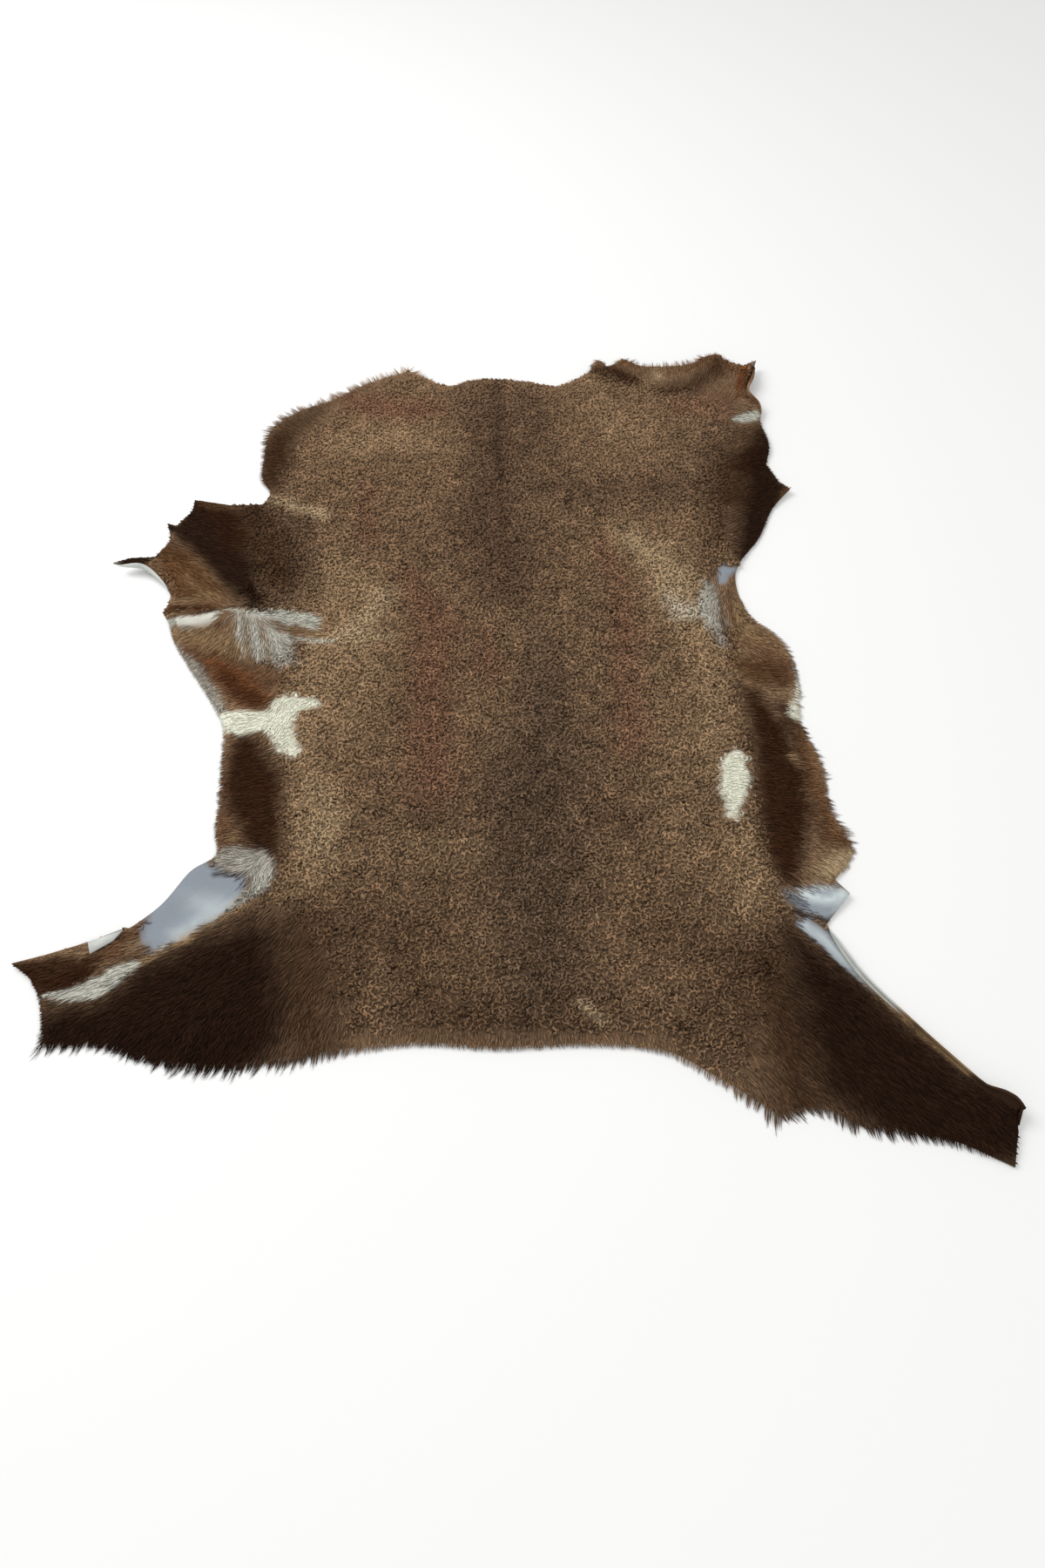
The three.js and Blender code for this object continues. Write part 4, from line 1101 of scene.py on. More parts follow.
def add_strands(name, made, shades, material, woolly=0.0):
    """A piece from strands, with the coat's colour for each of their places."""
    places, shades = made.places.reshape(-1, 3), shades.reshape(-1, 3)
    return add_piece(name, places, made.faces, shades, made.uvs, material, woolly)


# Shares of the map: the side of the square for the top, its margin, the side of the square
# for the underside, and that square's corner
MAP_SIDE = 0.98
MAP_MARGIN = 0.005
UNDER_SIDE = 0.2
UNDER_CORNER = (0.795, 0.005)


def laid_flat(places, faces, top_faces):
    """A map of a slab: the top as seen from above, and the rest small beside it."""
    low, high = places[:, :2].min(0), places[:, :2].max(0)
    flat = (places[:, :2] - low) / (high - low).max()
    uvs = flat[faces] * MAP_SIDE + MAP_MARGIN
    uvs[top_faces:] = flat[faces[top_faces:]] * UNDER_SIDE + UNDER_CORNER
    return uvs.reshape(-1, 2)


# Materials. Every piece carries its coat colours as a colour attribute, with painted light and shade in
# those of the curls, hair, fringe and ground.


class Finish(NamedTuple):
    """The look of a kind of coat: fineness and contrast of its grain, depth of the grain in
    mm, roughness, and strength and roughness of its sheen."""

    grain: float
    contrast: float
    depth: float
    roughness: float
    sheen: float
    sheen_roughness: float


class CrackShade(NamedTuple):
    """A net of painted shade in the cracks of the wool: fineness, width as a share of its cells, and depth.
    """

    scale: float
    width: float
    depth: float


WOOL = "Curled wool"
HAIR = "Straight hair"
SKIN_SIDE = "Tanned skin"
FINISHES = {
    WOOL: Finish(620, 1.1, 0.4, 0.95, 0.05, 0.5),
    HAIR: Finish(420, 0.6, 0.2, 0.7, 0.02, 0.4),
    SKIN_SIDE: Finish(260, 0.25, 0.3, 0.8, 0.05, 0.5),
}
SHINE = 0.04
SHEEN_TINT = (0.55, 0.36, 0.22, 1)

# The grain's noise, and its share of contrast where the wool gives way to hair
GRAIN_DETAIL = 3
GRAIN_ROUGHNESS = 0.65
CALM_SHARE = 0.2

# Painted shade in the cracks between tufts of wool: the nets, how far they wander in metres, and the noise
# that bends them
CRACK_SHADES = [CrackShade(120, 0.15, 0.78), CrackShade(240, 0.15, 0.28)]
CRACK_WANDER = 0.009
BEND_NOISE = {"Scale": 210, "Detail": 2}

# Noise of the patches with fewer shaded cracks, the values between which they fade, and what is
# left there. Towards the neck, between two places along Y in metres, all of them fade.
PATCH_NOISE = {"Scale": 60, "Detail": 2}
PATCH_FADE = (0.42, 0.62)
PATCH_LEAST = 0.1
NECK_FADE = (0.3, 0.5)
NECK_LEAST = 0.5


def fill(tree, node, inputs):
    """Gives inputs of a node a value or another node's output."""
    for key, value in inputs.items():
        if isinstance(value, bpy.types.NodeSocket):
            tree.links.new(value, node.inputs[key])
        else:
            node.inputs[key].default_value = value


def add_node(tree, kind, inputs=None, **settings):
    """A node of that kind, with its settings and inputs."""
    node = tree.nodes.new(kind)
    for name, value in settings.items():
        setattr(node, name, value)
    fill(tree, node, inputs or {})
    return node


def reckoned(tree, operation, *terms):
    """The result of a sum or product of values and outputs."""
    return add_node(tree, "ShaderNodeMath", dict(enumerate(terms)), operation=operation).outputs[0]


def vector_sum(tree, operation, first, second):
    """The result of a sum or product of two vectors."""
    terms = {0: first, 1: second}
    return add_node(tree, "ShaderNodeVectorMath", terms, operation=operation).outputs["Vector"]


def scaled(tree, vector, share):
    """A vector or colour times a share."""
    terms = {0: vector, "Scale": share}
    return add_node(tree, "ShaderNodeVectorMath", terms, operation="SCALE").outputs["Vector"]


def ramp(tree, value, span, ends, **settings):
    """A value that runs between the ends while the given one runs over the span."""
    inputs = {"Value": value}
    inputs.update(zip(("From Min", "From Max", "To Min", "To Max"), (*span, *ends)))
    return add_node(tree, "ShaderNodeMapRange", inputs, **settings).outputs["Result"]


def new_group(name, inputs, outputs):
    """An empty node group, and the sockets inside it for what it is given and its result."""
    group = bpy.data.node_groups.new(name, "ShaderNodeTree")
    for direction, names in (("INPUT", inputs), ("OUTPUT", outputs)):
        for socket in names:
            kind = "NodeSocketColor" if socket == "Colour" else "NodeSocketFloat"
            group.interface.new_socket(socket, in_out=direction, socket_type=kind)
    start, end = group.nodes.new("NodeGroupInput"), group.nodes.new("NodeGroupOutput")
    return group, start.outputs, end.inputs


def fibre_group():
    """A node group: fine mottling of a colour, and a height for its grain."""
    group, given, result = new_group("Fibre grain", ["Colour", "Scale", "Contrast"], ["Colour", "Height"])
    where = add_node(group, "ShaderNodeTexCoord").outputs["Object"]
    noise = {
        "Vector": where, "Scale": given["Scale"], "Detail": GRAIN_DETAIL, "Roughness": GRAIN_ROUGHNESS
    }
    grain = add_node(group, "ShaderNodeTexNoise", noise).outputs["Fac"]
    centred = reckoned(group, "SUBTRACT", grain, 0.5)
    gain = reckoned(group, "MULTIPLY_ADD", centred, given["Contrast"], 1)
    group.links.new(scaled(group, given["Colour"], gain), result["Colour"])
    group.links.new(grain, result["Height"])
    return group


def crack_shade_group():
    """A node group: painted shade in wandering cracks between the tufts of wool, seen from above."""
    group, given, result = new_group("Painted crack shade", ["Scale", "Width", "Wander", "Depth"], ["Mask"])
    where = add_node(group, "ShaderNodeTexCoord").outputs["Object"]
    flat = vector_sum(group, "MULTIPLY", where, (1, 1, 0))
    bends = add_node(group, "ShaderNodeTexNoise", {"Vector": flat, **BEND_NOISE})
    centred = vector_sum(group, "SUBTRACT", bends.outputs["Color"], (0.5, 0.5, 0.5))
    bent = vector_sum(group, "ADD", flat, scaled(group, centred, given["Wander"]))
    cells = add_node(
        group, "ShaderNodeTexVoronoi", {"Vector": bent, "Scale": given["Scale"]},
        feature="DISTANCE_TO_EDGE", voronoi_dimensions="2D",
    )
    gap = cells.outputs["Distance"]
    mask = ramp(group, gap, (0, given["Width"]), (1, 0), interpolation_type="SMOOTHSTEP")
    patches = add_node(group, "ShaderNodeTexNoise", {"Vector": flat, **PATCH_NOISE})
    patchy = ramp(group, patches.outputs["Fac"], PATCH_FADE, (PATCH_LEAST, 1))
    along = add_node(group, "ShaderNodeSeparateXYZ", {0: where}).outputs["Y"]
    for share in (ramp(group, along, NECK_FADE, (1, NECK_LEAST)), patchy, given["Depth"]):
        mask = reckoned(group, "MULTIPLY", mask, share)
    group.links.new(reckoned(group, "SUBTRACT", 1, mask), result["Mask"])
    return group


def add_crack_shade(tree, woolly, shader, crack):
    """Paints shade into the base colour along the cracks between tufts, as far as the coat is woolly."""
    base = shader.inputs["Base Color"].links[0].from_socket
    inputs = {
        "Scale": crack.scale, "Width": crack.width, "Wander": CRACK_WANDER,
        "Depth": reckoned(tree, "MULTIPLY", woolly, crack.depth),
    }
    group = bpy.data.node_groups.get("Painted crack shade") or crack_shade_group()
    cracks = add_node(tree, "ShaderNodeGroup", node_tree=group)
    fill(tree, cracks, inputs)
    fill(tree, shader, {"Base Color": scaled(tree, base, cracks.outputs["Mask"])})


def coat_finish(name):
    """The material of that kind of coat, made once: the coat's own colours with a grain."""
    if name in bpy.data.materials:
        return bpy.data.materials[name]
    finish = FINISHES[name]
    material = bpy.data.materials.new(name)
    material.use_nodes = True
    tree = material.node_tree
    shader = tree.nodes["Principled BSDF"]
    coat = add_node(tree, "ShaderNodeVertexColor", layer_name="Coat").outputs
    contrast = finish.contrast
    if name == WOOL:
        least = contrast * CALM_SHARE
        contrast = reckoned(tree, "MULTIPLY_ADD", coat["Alpha"], contrast - least, least)
    group = bpy.data.node_groups.get("Fibre grain") or fibre_group()
    grain = add_node(tree, "ShaderNodeGroup", node_tree=group)
    fill(tree, grain, {"Colour": coat["Color"], "Scale": finish.grain, "Contrast": contrast})
    raised = {"Height": grain.outputs["Height"], "Distance": finish.depth * MM}
    fill(tree, shader, {
        "Base Color": grain.outputs["Colour"],
        "Normal": add_node(tree, "ShaderNodeBump", raised).outputs["Normal"],
        "Roughness": finish.roughness,
        "Specular IOR Level": SHINE,
        "Sheen Weight": finish.sheen,
        "Sheen Roughness": finish.sheen_roughness,
        "Sheen Tint": SHEEN_TINT,
    })
    # The wool gets painted shade in the cracks between its tufts
    if name == WOOL:
        for crack in CRACK_SHADES:
            add_crack_shade(tree, coat["Alpha"], shader, crack)
    return material


def part_of(context):
    """The pelt with the sizes and colours set in the panel."""
    scene = context.scene
    return Pelt(scene.pelt_sizes, scene.coat_colours)


# The fleece's ground: how far its points are out of line and how far inside the edge they
# start, in steps, how many steps the underside's are apart, and its depth into the skin in mm
GROUND_WOBBLE = 0.18
GROUND_INSET = 0.55
UNDER_STEPS = 3
GROUND_SUNK = 0.4

# Shares of the coat's colour at the bottom of wool and hair, where light hardly reaches
UNDER_WOOL = 0.5
UNDER_HAIR = 0.8


class MakeGround(bpy.types.Operator):
    """The dense bottom of the fleece, and bare skin where there is no coat"""

    bl_idname = "sheepskin.ground"
    bl_label = "Fleece ground"

    def execute(self, context):
        pelt = part_of(context)
        sizes = pelt.sizes
        spread = honeycomb(sizes.ground_step, GROUND_WOBBLE, SEEDS["ground"])
        fine = spread[pelt.surface(spread).depth > sizes.ground_step * GROUND_INSET]
        wide = honeycomb(UNDER_STEPS * sizes.ground_step, 0, SEEDS["ground"])
        coarse = wide[pelt.surface(wide).depth > sizes.ground_step]
        places, faces, top_faces = slab(
            pelt.rim.edge, fine, coarse,
            lambda flat: pelt.surface(flat).ground,
            lambda flat: pelt.surface(flat).lift + sizes.skin - GROUND_SUNK,
        )
        flat = places[:, :2]
        hairy, _, bare = pelt.straightness(flat)
        under = UNDER_WOOL + (UNDER_HAIR - UNDER_WOOL) * hairy
        under = under + (1 - under) * bare
        shades = pelt.shades(flat) * under[:, None]
        uvs = laid_flat(places, faces, top_faces)
        woolly = (1 - np.maximum(hairy, bare)) * (1 - smoothstep(shades.mean(1), *PALE))
        add_piece("fleece_ground", places, faces, shades, uvs, coat_finish(WOOL), woolly)
        return {"FINISHED"}


# Curls: rings of a curl's tube, the pieces they are shared over, and in mm how far inside
# the edge they start and how deep their ends sink into the ground
CURL_RINGS = 5
CURL_PARTS = 3
CURL_INSET = 1.5
CURL_SUNK = 0.9

# How curls differ: how far out of line they stand, the shares of straight hair at which they
# give way, their turn in radians, the share of hooked ones and the swing of the others, the
# spans of length and thickness, of height and of shade, and their slope in mm
CURL_WOBBLE = 0.3
CURL_CHANCE = (0.15, 0.85)
CURL_TURN = (3.0, 4.9)
HOOKED = 0.65
SWING = 0.32
CURL_SPREAD = (0.75, 1.2)
CURL_TALL = (0.6, 1.25)
CURL_SHADE = (0.86, 1.14)
CURL_SLOPE = 1.2

# A curl's shape and light: the power that makes its arch blunt, and its thickness, its light
# along it and its light over it, each where least and how much more where most
ARCH_POWER = 0.8
CURL_BODY = (0.62, 0.45)
CURL_LIT = (0.86, 0.2)
CURL_CREST = (0.66, 0.4)
END_LIT = 0.05

# Curls that catch the light: how much paler they are, the size of their clusters in mm, the
# random values between which a cluster comes up, the share of its curls left as they are,
# and the shades of the coat between which there are no more of them
GLINT = 0.4
GLINT_SIZE = 11
GLINT_RISE = (0.1, 0.6)
GLINT_SPARED = 0.5
GLINT_STOP = (0.15, 0.4)


class MakeCurls(bpy.types.Operator):
    """Short curls of wool all over the back"""

    bl_idname = "sheepskin.curls"
    bl_label = "Wool curls"

    def execute(self, context):
        pelt = part_of(context)
        sizes = pelt.sizes
        random = np.random.default_rng(SEEDS["curls"])
        spots = honeycomb(sizes.curl_pitch, CURL_WOBBLE, SEEDS["curls"])
        hairy, _, bare = pelt.straightness(spots)
        curled = random.uniform(*CURL_CHANCE, len(spots)) > np.maximum(hairy, bare)
        spots = spots[curled]
        skin = pelt.surface(spots)
        inside = skin.depth > CURL_INSET
        spots, ground = spots[inside], skin.ground[inside]
        order = np.argsort(-spots[:, 1], kind="stable")
        spots, ground = spots[order], ground[order]
        count = len(spots)
        share = np.linspace(0, 1, CURL_RINGS)
        swell = np.sin(np.pi * share)
        turn = random.uniform(*CURL_TURN, count) * random.choice([-1, 1], count)
        hooked = random.uniform(0, 1, count) < HOOKED
        heading = random.uniform(0, 2 * np.pi, count)[:, None]
        swing = SWING * np.cos(2 * np.pi * share)
        bend = turn[:, None] * np.where(hooked[:, None], share - 0.5, swing)
        stride = sizes.curl_long * random.uniform(*CURL_SPREAD, count)[:, None] / (CURL_RINGS - 1)
        step = np.stack([np.cos(heading + bend), np.sin(heading + bend)], axis=2) * stride[..., None]
        path = np.cumsum(step, axis=1)
        path += spots[:, None] - path.mean(1, keepdims=True)
        tall = sizes.curl_high * random.uniform(*CURL_TALL, count)[:, None]
        slope = random.uniform(-CURL_SLOPE, CURL_SLOPE, count)[:, None]
        height = ground[:, None] - CURL_SUNK + tall * swell ** ARCH_POWER + slope * (share - 0.5)
        thick = sizes.curl_thick * random.uniform(*CURL_SPREAD, count)[:, None]
        radii = thick * (CURL_BODY[0] + CURL_BODY[1] * swell)
        spines = np.concatenate([path, height[..., None]], axis=2)
        clusters = smoothstep(drift(spots, GLINT_SIZE, SEEDS["glints"]), *GLINT_RISE)
        glints = GLINT * clusters * (random.random(count) > GLINT_SPARED)
        shade = pelt.shades(spots)
        glints = glints * (1 - smoothstep(shade.mean(1), *GLINT_STOP))
        shade = shade * (random.uniform(*CURL_SHADE, count) + glints)[:, None]
        for part in range(CURL_PARTS):
            rows = np.array_split(np.arange(count), CURL_PARTS)[part]
            made = strands(spines[rows], radii[rows])
            along = np.sin(np.pi * np.clip(made.share, END_LIT, 1 - END_LIT))
            lit = CURL_LIT[0] + CURL_LIT[1] * along
            lit = lit * (CURL_CREST[0] + CURL_CREST[1] * made.crest)
            name = f"wool_curls_{part + 1}"
            shades = shade[rows][:, None] * lit[:, None]
            woolly = 1 - smoothstep(shades.reshape(-1, 3).mean(1), *PALE)
            add_strands(name, made, shades, coat_finish(WOOL), woolly)
        return {"FINISHED"}


# Between these places along Y in mm, fringe and hair take on their shape at the head end
HEADWARD = (250, 450)

# Straight hair: rings of a lock, and its half width at each of them
HAIR_RINGS = 3
HAIR_TAPER = (0.8, 1.0, 0.3)
HAIR_FLAT = 0.6

# How far hair may reach past the skin's edge, as a share of the fringe there, how much less
# that is at the head end, and the length in mm that it has at least
HAIR_PAST = 0.7
HAIR_SHY = 0.7
HAIR_SHORTEST = 4.0

# How locks differ: how far out of line they stand, the shares of straight hair at which they
# grow, how far inside the edge in mm, the spans of length, rise in mm and thickness, and how
# far they stray from the combing in radians
HAIR_WOBBLE = 0.35
HAIR_CHANCE = (0.1, 0.9)
HAIR_INSET = 1
HAIR_LENGTH = (0.7, 1.15)
HAIR_RISE = (1.0, 2.6)
HAIR_WIDTH = (0.7, 1.25)
HAIR_STRAY = 0.14

# The shade of locks: how far along them in mm the coat's colour is taken, the span of their
# own shades, how much of that is lost in a pale coat and between which colours, and the
# light at the root and how much more there is at the tip
SHADE_AHEAD = 3
HAIR_SHADE = (-0.34, 0.38)
HAIR_EVEN = 0.65
HAIR_CALM = (0.3, 0.6)
HAIR_LIT = (0.8, 0.4)

# How hair lies: how far past the edge it comes down and how high it then is, how deep its
# root sinks, all in mm, how soon it is up, and how much of its rise is lost at the tip
COME_DOWN = 9
HAIR_DOWN = 0.8
HAIR_SUNK = 0.5
RISE_SOON = 1.6
RISE_LOST = 0.35


def headward(places):
    """How far each place is on its way to the head end, from 0 to 1."""
    return smoothstep(places[:, 1], *HEADWARD)


def lie_down(pelt, roots, ways, long, rise):
    """Paths of hairs that lean over the coat in their own ways and follow its height."""
    share = np.linspace(0, 1, HAIR_RINGS)
    flat = roots[:, None] + ways[:, None] * (long[:, None] * share)[..., None]
    skin = pelt.surface(flat.reshape(-1, 2))
    beyond = np.clip(-skin.depth, 0, None).reshape(flat.shape[:2])
    ground = skin.ground.reshape(flat.shape[:2])
    lift = skin.lift.reshape(flat.shape[:2])
    drop = smoothstep(beyond, 0, COME_DOWN)
    level = ground * (1 - drop) + (lift + HAIR_DOWN) * drop
    arch = np.sin(0.5 * np.pi * np.minimum(RISE_SOON * share, 1)) * (1 - RISE_LOST * share)
    height = level - HAIR_SUNK + rise[:, None] * arch
    return np.concatenate([flat, height[..., None]], axis=2)


class MakeHair(bpy.types.Operator):
    """Straight hair on the legs, flanks and shoulders, combed one way at each place"""

    bl_idname = "sheepskin.hair"
    bl_label = "Straight hair"

    def execute(self, context):
        pelt = part_of(context)
        sizes = pelt.sizes
        random = np.random.default_rng(SEEDS["hair"])
        roots = honeycomb(sizes.hair_pitch, HAIR_WOBBLE, SEEDS["hair"])
        hairy, long, bare = pelt.straightness(roots)
        chance = random.uniform(*HAIR_CHANCE, len(roots))
        grown = (hairy > chance) & (bare < chance)
        roots, long = roots[grown], long[grown]
        skin = pelt.surface(roots)
        inside = skin.depth > HAIR_INSET
        roots, long = roots[inside], long[inside]
        count = len(roots)
        long = long * random.uniform(*HAIR_LENGTH, count)
        past = skin.hair[inside] * HAIR_PAST * (1 - HAIR_SHY * headward(roots))
        long = np.minimum(long, np.maximum(skin.depth[inside] + past, HAIR_SHORTEST))
        ways = combing(roots)
        stray = random.normal(0, HAIR_STRAY, count)
        cos, sin = np.cos(stray), np.sin(stray)
        ways = np.stack([ways[:, 0] * cos - ways[:, 1] * sin, ways[:, 0] * sin + ways[:, 1] * cos], axis=1)
        rise = random.uniform(*HAIR_RISE, count)
        spines = lie_down(pelt, roots, ways, long, rise)
        thick = sizes.hair_thick * random.uniform(*HAIR_WIDTH, count)
        radii = thick[:, None] * np.array(HAIR_TAPER)
        shade = pelt.shades(roots + ways * SHADE_AHEAD)
        calm = 1 - HAIR_EVEN * smoothstep(shade.mean(1), *HAIR_CALM)
        shade = shade * (1 + random.uniform(*HAIR_SHADE, count) * calm)[:, None]
        for name, rows in (("hair_left", roots[:, 0] < 0), ("hair_right", roots[:, 0] >= 0)):
            made = strands(spines[rows], radii[rows], flat=HAIR_FLAT)
            lit = HAIR_LIT[0] + HAIR_LIT[1] * made.share
            add_strands(name, made, shade[rows][:, None] * lit[:, None], coat_finish(HAIR))
        return {"FINISHED"}


# Hair fringe: rings of a hair, its shares of radius at each of them and its flatness, and in
# mm the least length and the largest roll where it grows, and how far in its roots are
FRINGE_RINGS = 4
FRINGE_TAPER = (0.8, 0.85, 0.6, 0.2)
FRINGE_FLAT = 0.8
FRINGE_LEAST = 2.0
FRINGE_ROLL = 0.5
FRINGE_ROOT = 9.0

# How fringe hairs differ: how far out of line they stand, the spans of reach, root depth,
# bend, radius in mm and shade, and how far their tips stray in mm
FRINGE_WOBBLE = 0.4
FRINGE_REACH = (0.7, 1.1)
FRINGE_DEPTH = (0.5, 1.1)
FRINGE_BENT = (0.4, 1)
FRINGE_RADIUS = (0.45, 0.8)
FRINGE_SHADE = (0.75, 1.25)
FRINGE_STRAY = 0.5

# Tufts: how uneven their widths are and over how many mm, the spans of their reach and lean,
# the fringe lengths in mm from which tufts part, and those from which they are longer
TUFT_DRIFT = 0.45
TUFT_DRIFT_SIZE = 17
TUFT_REACH = (0.75, 1.15)
TUFT_LEAN = 0.14
TUFT_PARTS = (6, 11)
TUFT_GROWS = (9, 13)
TUFT_LONGER = 0.15

# The shape of a tuft: its reach in the middle, how much shorter it is at its sides, the power
# of that, how its hairs gather to the middle, and how they follow the combing and bend
TUFT_MIDDLE = 1.12
TUFT_GAP = 1.3
TUFT_POWER = 2
TUFT_GATHER = -0.4
FRINGE_COMBED = 0.55
FRINGE_BEND = 0.35
BEND_BIAS = 0.05

# Heights in mm of the fringe: over the ground, over the floor past the edge, how much its
# layers add, and how far past the edge it comes down
FRINGE_OVER = 0.6
FRINGE_LOW = 0.7
FRINGE_LAYERS = 1.6
FRINGE_DOWN = 8

# Light at the root of the fringe, and how much more there is at the tip
FRINGE_LIT = (0.8, 0.35)

# What changes towards the head end, where the fringe stands up like a comb: tufts are
# narrower, part at shorter lengths, are longer, shorter at their sides and gather less, and
# hairs follow the combing less, stand higher, root deeper, and are darker at the root and
# paler at the tip
HEAD_TUFT = 0.1
HEAD_PARTS = (3, 6)
HEAD_LONGER = 0.1
HEAD_GAP = 2.2
HEAD_POWER = 1
HEAD_GATHER = 0.25
HEAD_UNCOMBED = 0.8
HEAD_STAND = 4.0
HEAD_FALL = 0.3
HEAD_ROOT = 0.8
HEAD_DARK = 0.1
HEAD_PALE = 0.75


class MakeFringe(bpy.types.Operator):
    """Tufts of hair that stand past the skin all round the rim"""

    bl_idname = "sheepskin.fringe"
    bl_label = "Hair fringe"

    def execute(self, context):
        pelt = part_of(context)
        sizes, rim = pelt.sizes, pelt.rim
        random = np.random.default_rng(SEEDS["fringe"])
        steps = np.linalg.norm(np.roll(rim.edge, -1, axis=0) - rim.edge, axis=1)
        ends = np.cumsum(steps)
        along = np.arange(0, ends[-1], sizes.fringe_pitch)
        along = along + random.uniform(-FRINGE_WOBBLE, FRINGE_WOBBLE, len(along)) * sizes.fringe_pitch
        piece = np.minimum(np.searchsorted(ends, np.clip(along, 0, ends[-1])), len(ends) - 1)
        share = 1 - (ends[piece] - along) / steps[piece]
        following = (piece + 1) % len(ends)

        def mixed(values):
            weight = share if values.ndim == 1 else share[:, None]
            return values[piece] * (1 - weight) + values[following] * weight

        hair, out, edge = mixed(rim.hair), mixed(rim.out), mixed(rim.edge)
        kept = (hair >= FRINGE_LEAST) & (mixed(rim.roll) < FRINGE_ROLL)
        hair, out, edge, along = hair[kept], out[kept], edge[kept], along[kept]
        out /= np.linalg.norm(out, axis=1, keepdims=True)
        count = len(hair)
        line = np.stack([along, np.zeros(count)], axis=1)
        head = headward(edge)
        width = sizes.fringe_tuft * (1 - HEAD_TUFT * head)
        wander = TUFT_DRIFT * drift(line, TUFT_DRIFT_SIZE, SEEDS["tuft"])
        wander = np.cumsum(np.append(0, np.diff(along)) / width) + wander
        tuft = np.floor(wander)
        offset = wander - tuft - 0.5
        tufts = np.random.default_rng(SEEDS["tuft"])
        places = tuft.astype(int) + 1
        reach = tufts.uniform(*TUFT_REACH, places.max() + 2)[places]
        across = np.stack([-out[:, 1], out[:, 0]], axis=1)
        tufted = np.maximum(smoothstep(hair, *TUFT_PARTS), head * smoothstep(hair, *HEAD_PARTS))
        gap = (TUFT_GAP + HEAD_GAP * head) * np.abs(offset) ** (TUFT_POWER + HEAD_POWER * head)
        longer = TUFT_LONGER * smoothstep(hair, *TUFT_GROWS) * (1 - head) + HEAD_LONGER * head
        hair = hair * (1 + longer)
        tip_reach = hair * (1 + (reach * (TUFT_MIDDLE - gap) - 1) * tufted)
        tip_reach = tip_reach * random.uniform(*FRINGE_REACH, count)
        gather = (TUFT_GATHER + HEAD_GATHER * head) * offset * width * tufted
        gather = gather + random.normal(0, FRINGE_STRAY, count)
        lean = (combing(edge) * across).sum(1) * FRINGE_COMBED * (1 - HEAD_UNCOMBED * head)
        lean += tufts.normal(0, TUFT_LEAN, places.max() + 2)[places]
        depth = FRINGE_ROOT * (1 + HEAD_ROOT * head) * random.uniform(*FRINGE_DEPTH, count)
        roots = edge - out * depth[:, None]
        tips = edge + out * tip_reach[:, None] + across * (gather + lean * tip_reach)[:, None]
        spans = np.linspace(0, 1, FRINGE_RINGS)
        flat = roots[:, None] + (tips - roots)[:, None] * spans[:, None]
        bend = FRINGE_BEND * (1 - head) * tip_reach * np.sign(lean + BEND_BIAS)
        bend = bend * random.uniform(*FRINGE_BENT, count)
        flat = flat + (across * bend[:, None])[:, None] * (spans ** 2)[:, None]
        skin = pelt.surface(flat.reshape(-1, 2))
        beyond = smoothstep(-skin.depth, 0, FRINGE_DOWN).reshape(flat.shape[:2])
        ground = skin.ground.reshape(flat.shape[:2])
        lift = skin.lift.reshape(flat.shape[:2])
        layer = random.uniform(0, 1, count)[:, None]
        low = lift + FRINGE_LOW + FRINGE_LAYERS * layer * (1 - spans)
        height = (ground + FRINGE_OVER) * (1 - beyond) + low * beyond
        height = height + HEAD_STAND * head[:, None] * beyond * (1 - HEAD_FALL * spans)
        spines = np.concatenate([flat, height[..., None]], axis=2)
        radii = random.uniform(*FRINGE_RADIUS, count)[:, None] * np.array(FRINGE_TAPER)
        shade = pelt.shades(roots) * random.uniform(*FRINGE_SHADE, count)[:, None]
        made = strands(spines, radii, flat=FRINGE_FLAT)
        pale = (FRINGE_LIT[1] + HEAD_PALE * head)[:, None]
        lit = (FRINGE_LIT[0] - HEAD_DARK * head)[:, None] + pale * made.share
        add_strands("hair_fringe", made, shade[:, None] * lit[..., None], coat_finish(HAIR))
        return {"FINISHED"}


# Rolled edges: how far the skin turns over and in how many steps, the flat strip that joins
# it to the pelt and the smallest radius that is rolled in mm, the shortest run of points, the
# skin's thickness as a share of the radius, over how many points a roll fades out and to what
# share of its radius, and over how many it is evened
ROLL_TURN = math.radians(150)
ROLL_STEPS = 9
ROLL_LEAD = 6.0
ROLL_SMALLEST = 2.0
ROLL_SHORTEST = 3
ROLL_THICKEST = 0.6
ROLL_FADE = 6
ROLL_END = 0.3
ROLL_EVEN = 4


def evened(values):
    """Values along a run, each the mean of its neighbours'."""
    ends = np.pad(values, [(ROLL_EVEN, ROLL_EVEN)] + [(0, 0)] * (values.ndim - 1), mode="edge")
    width = 2 * ROLL_EVEN + 1
    return np.mean([ends[k:k + len(values)] for k in range(width)], axis=0)


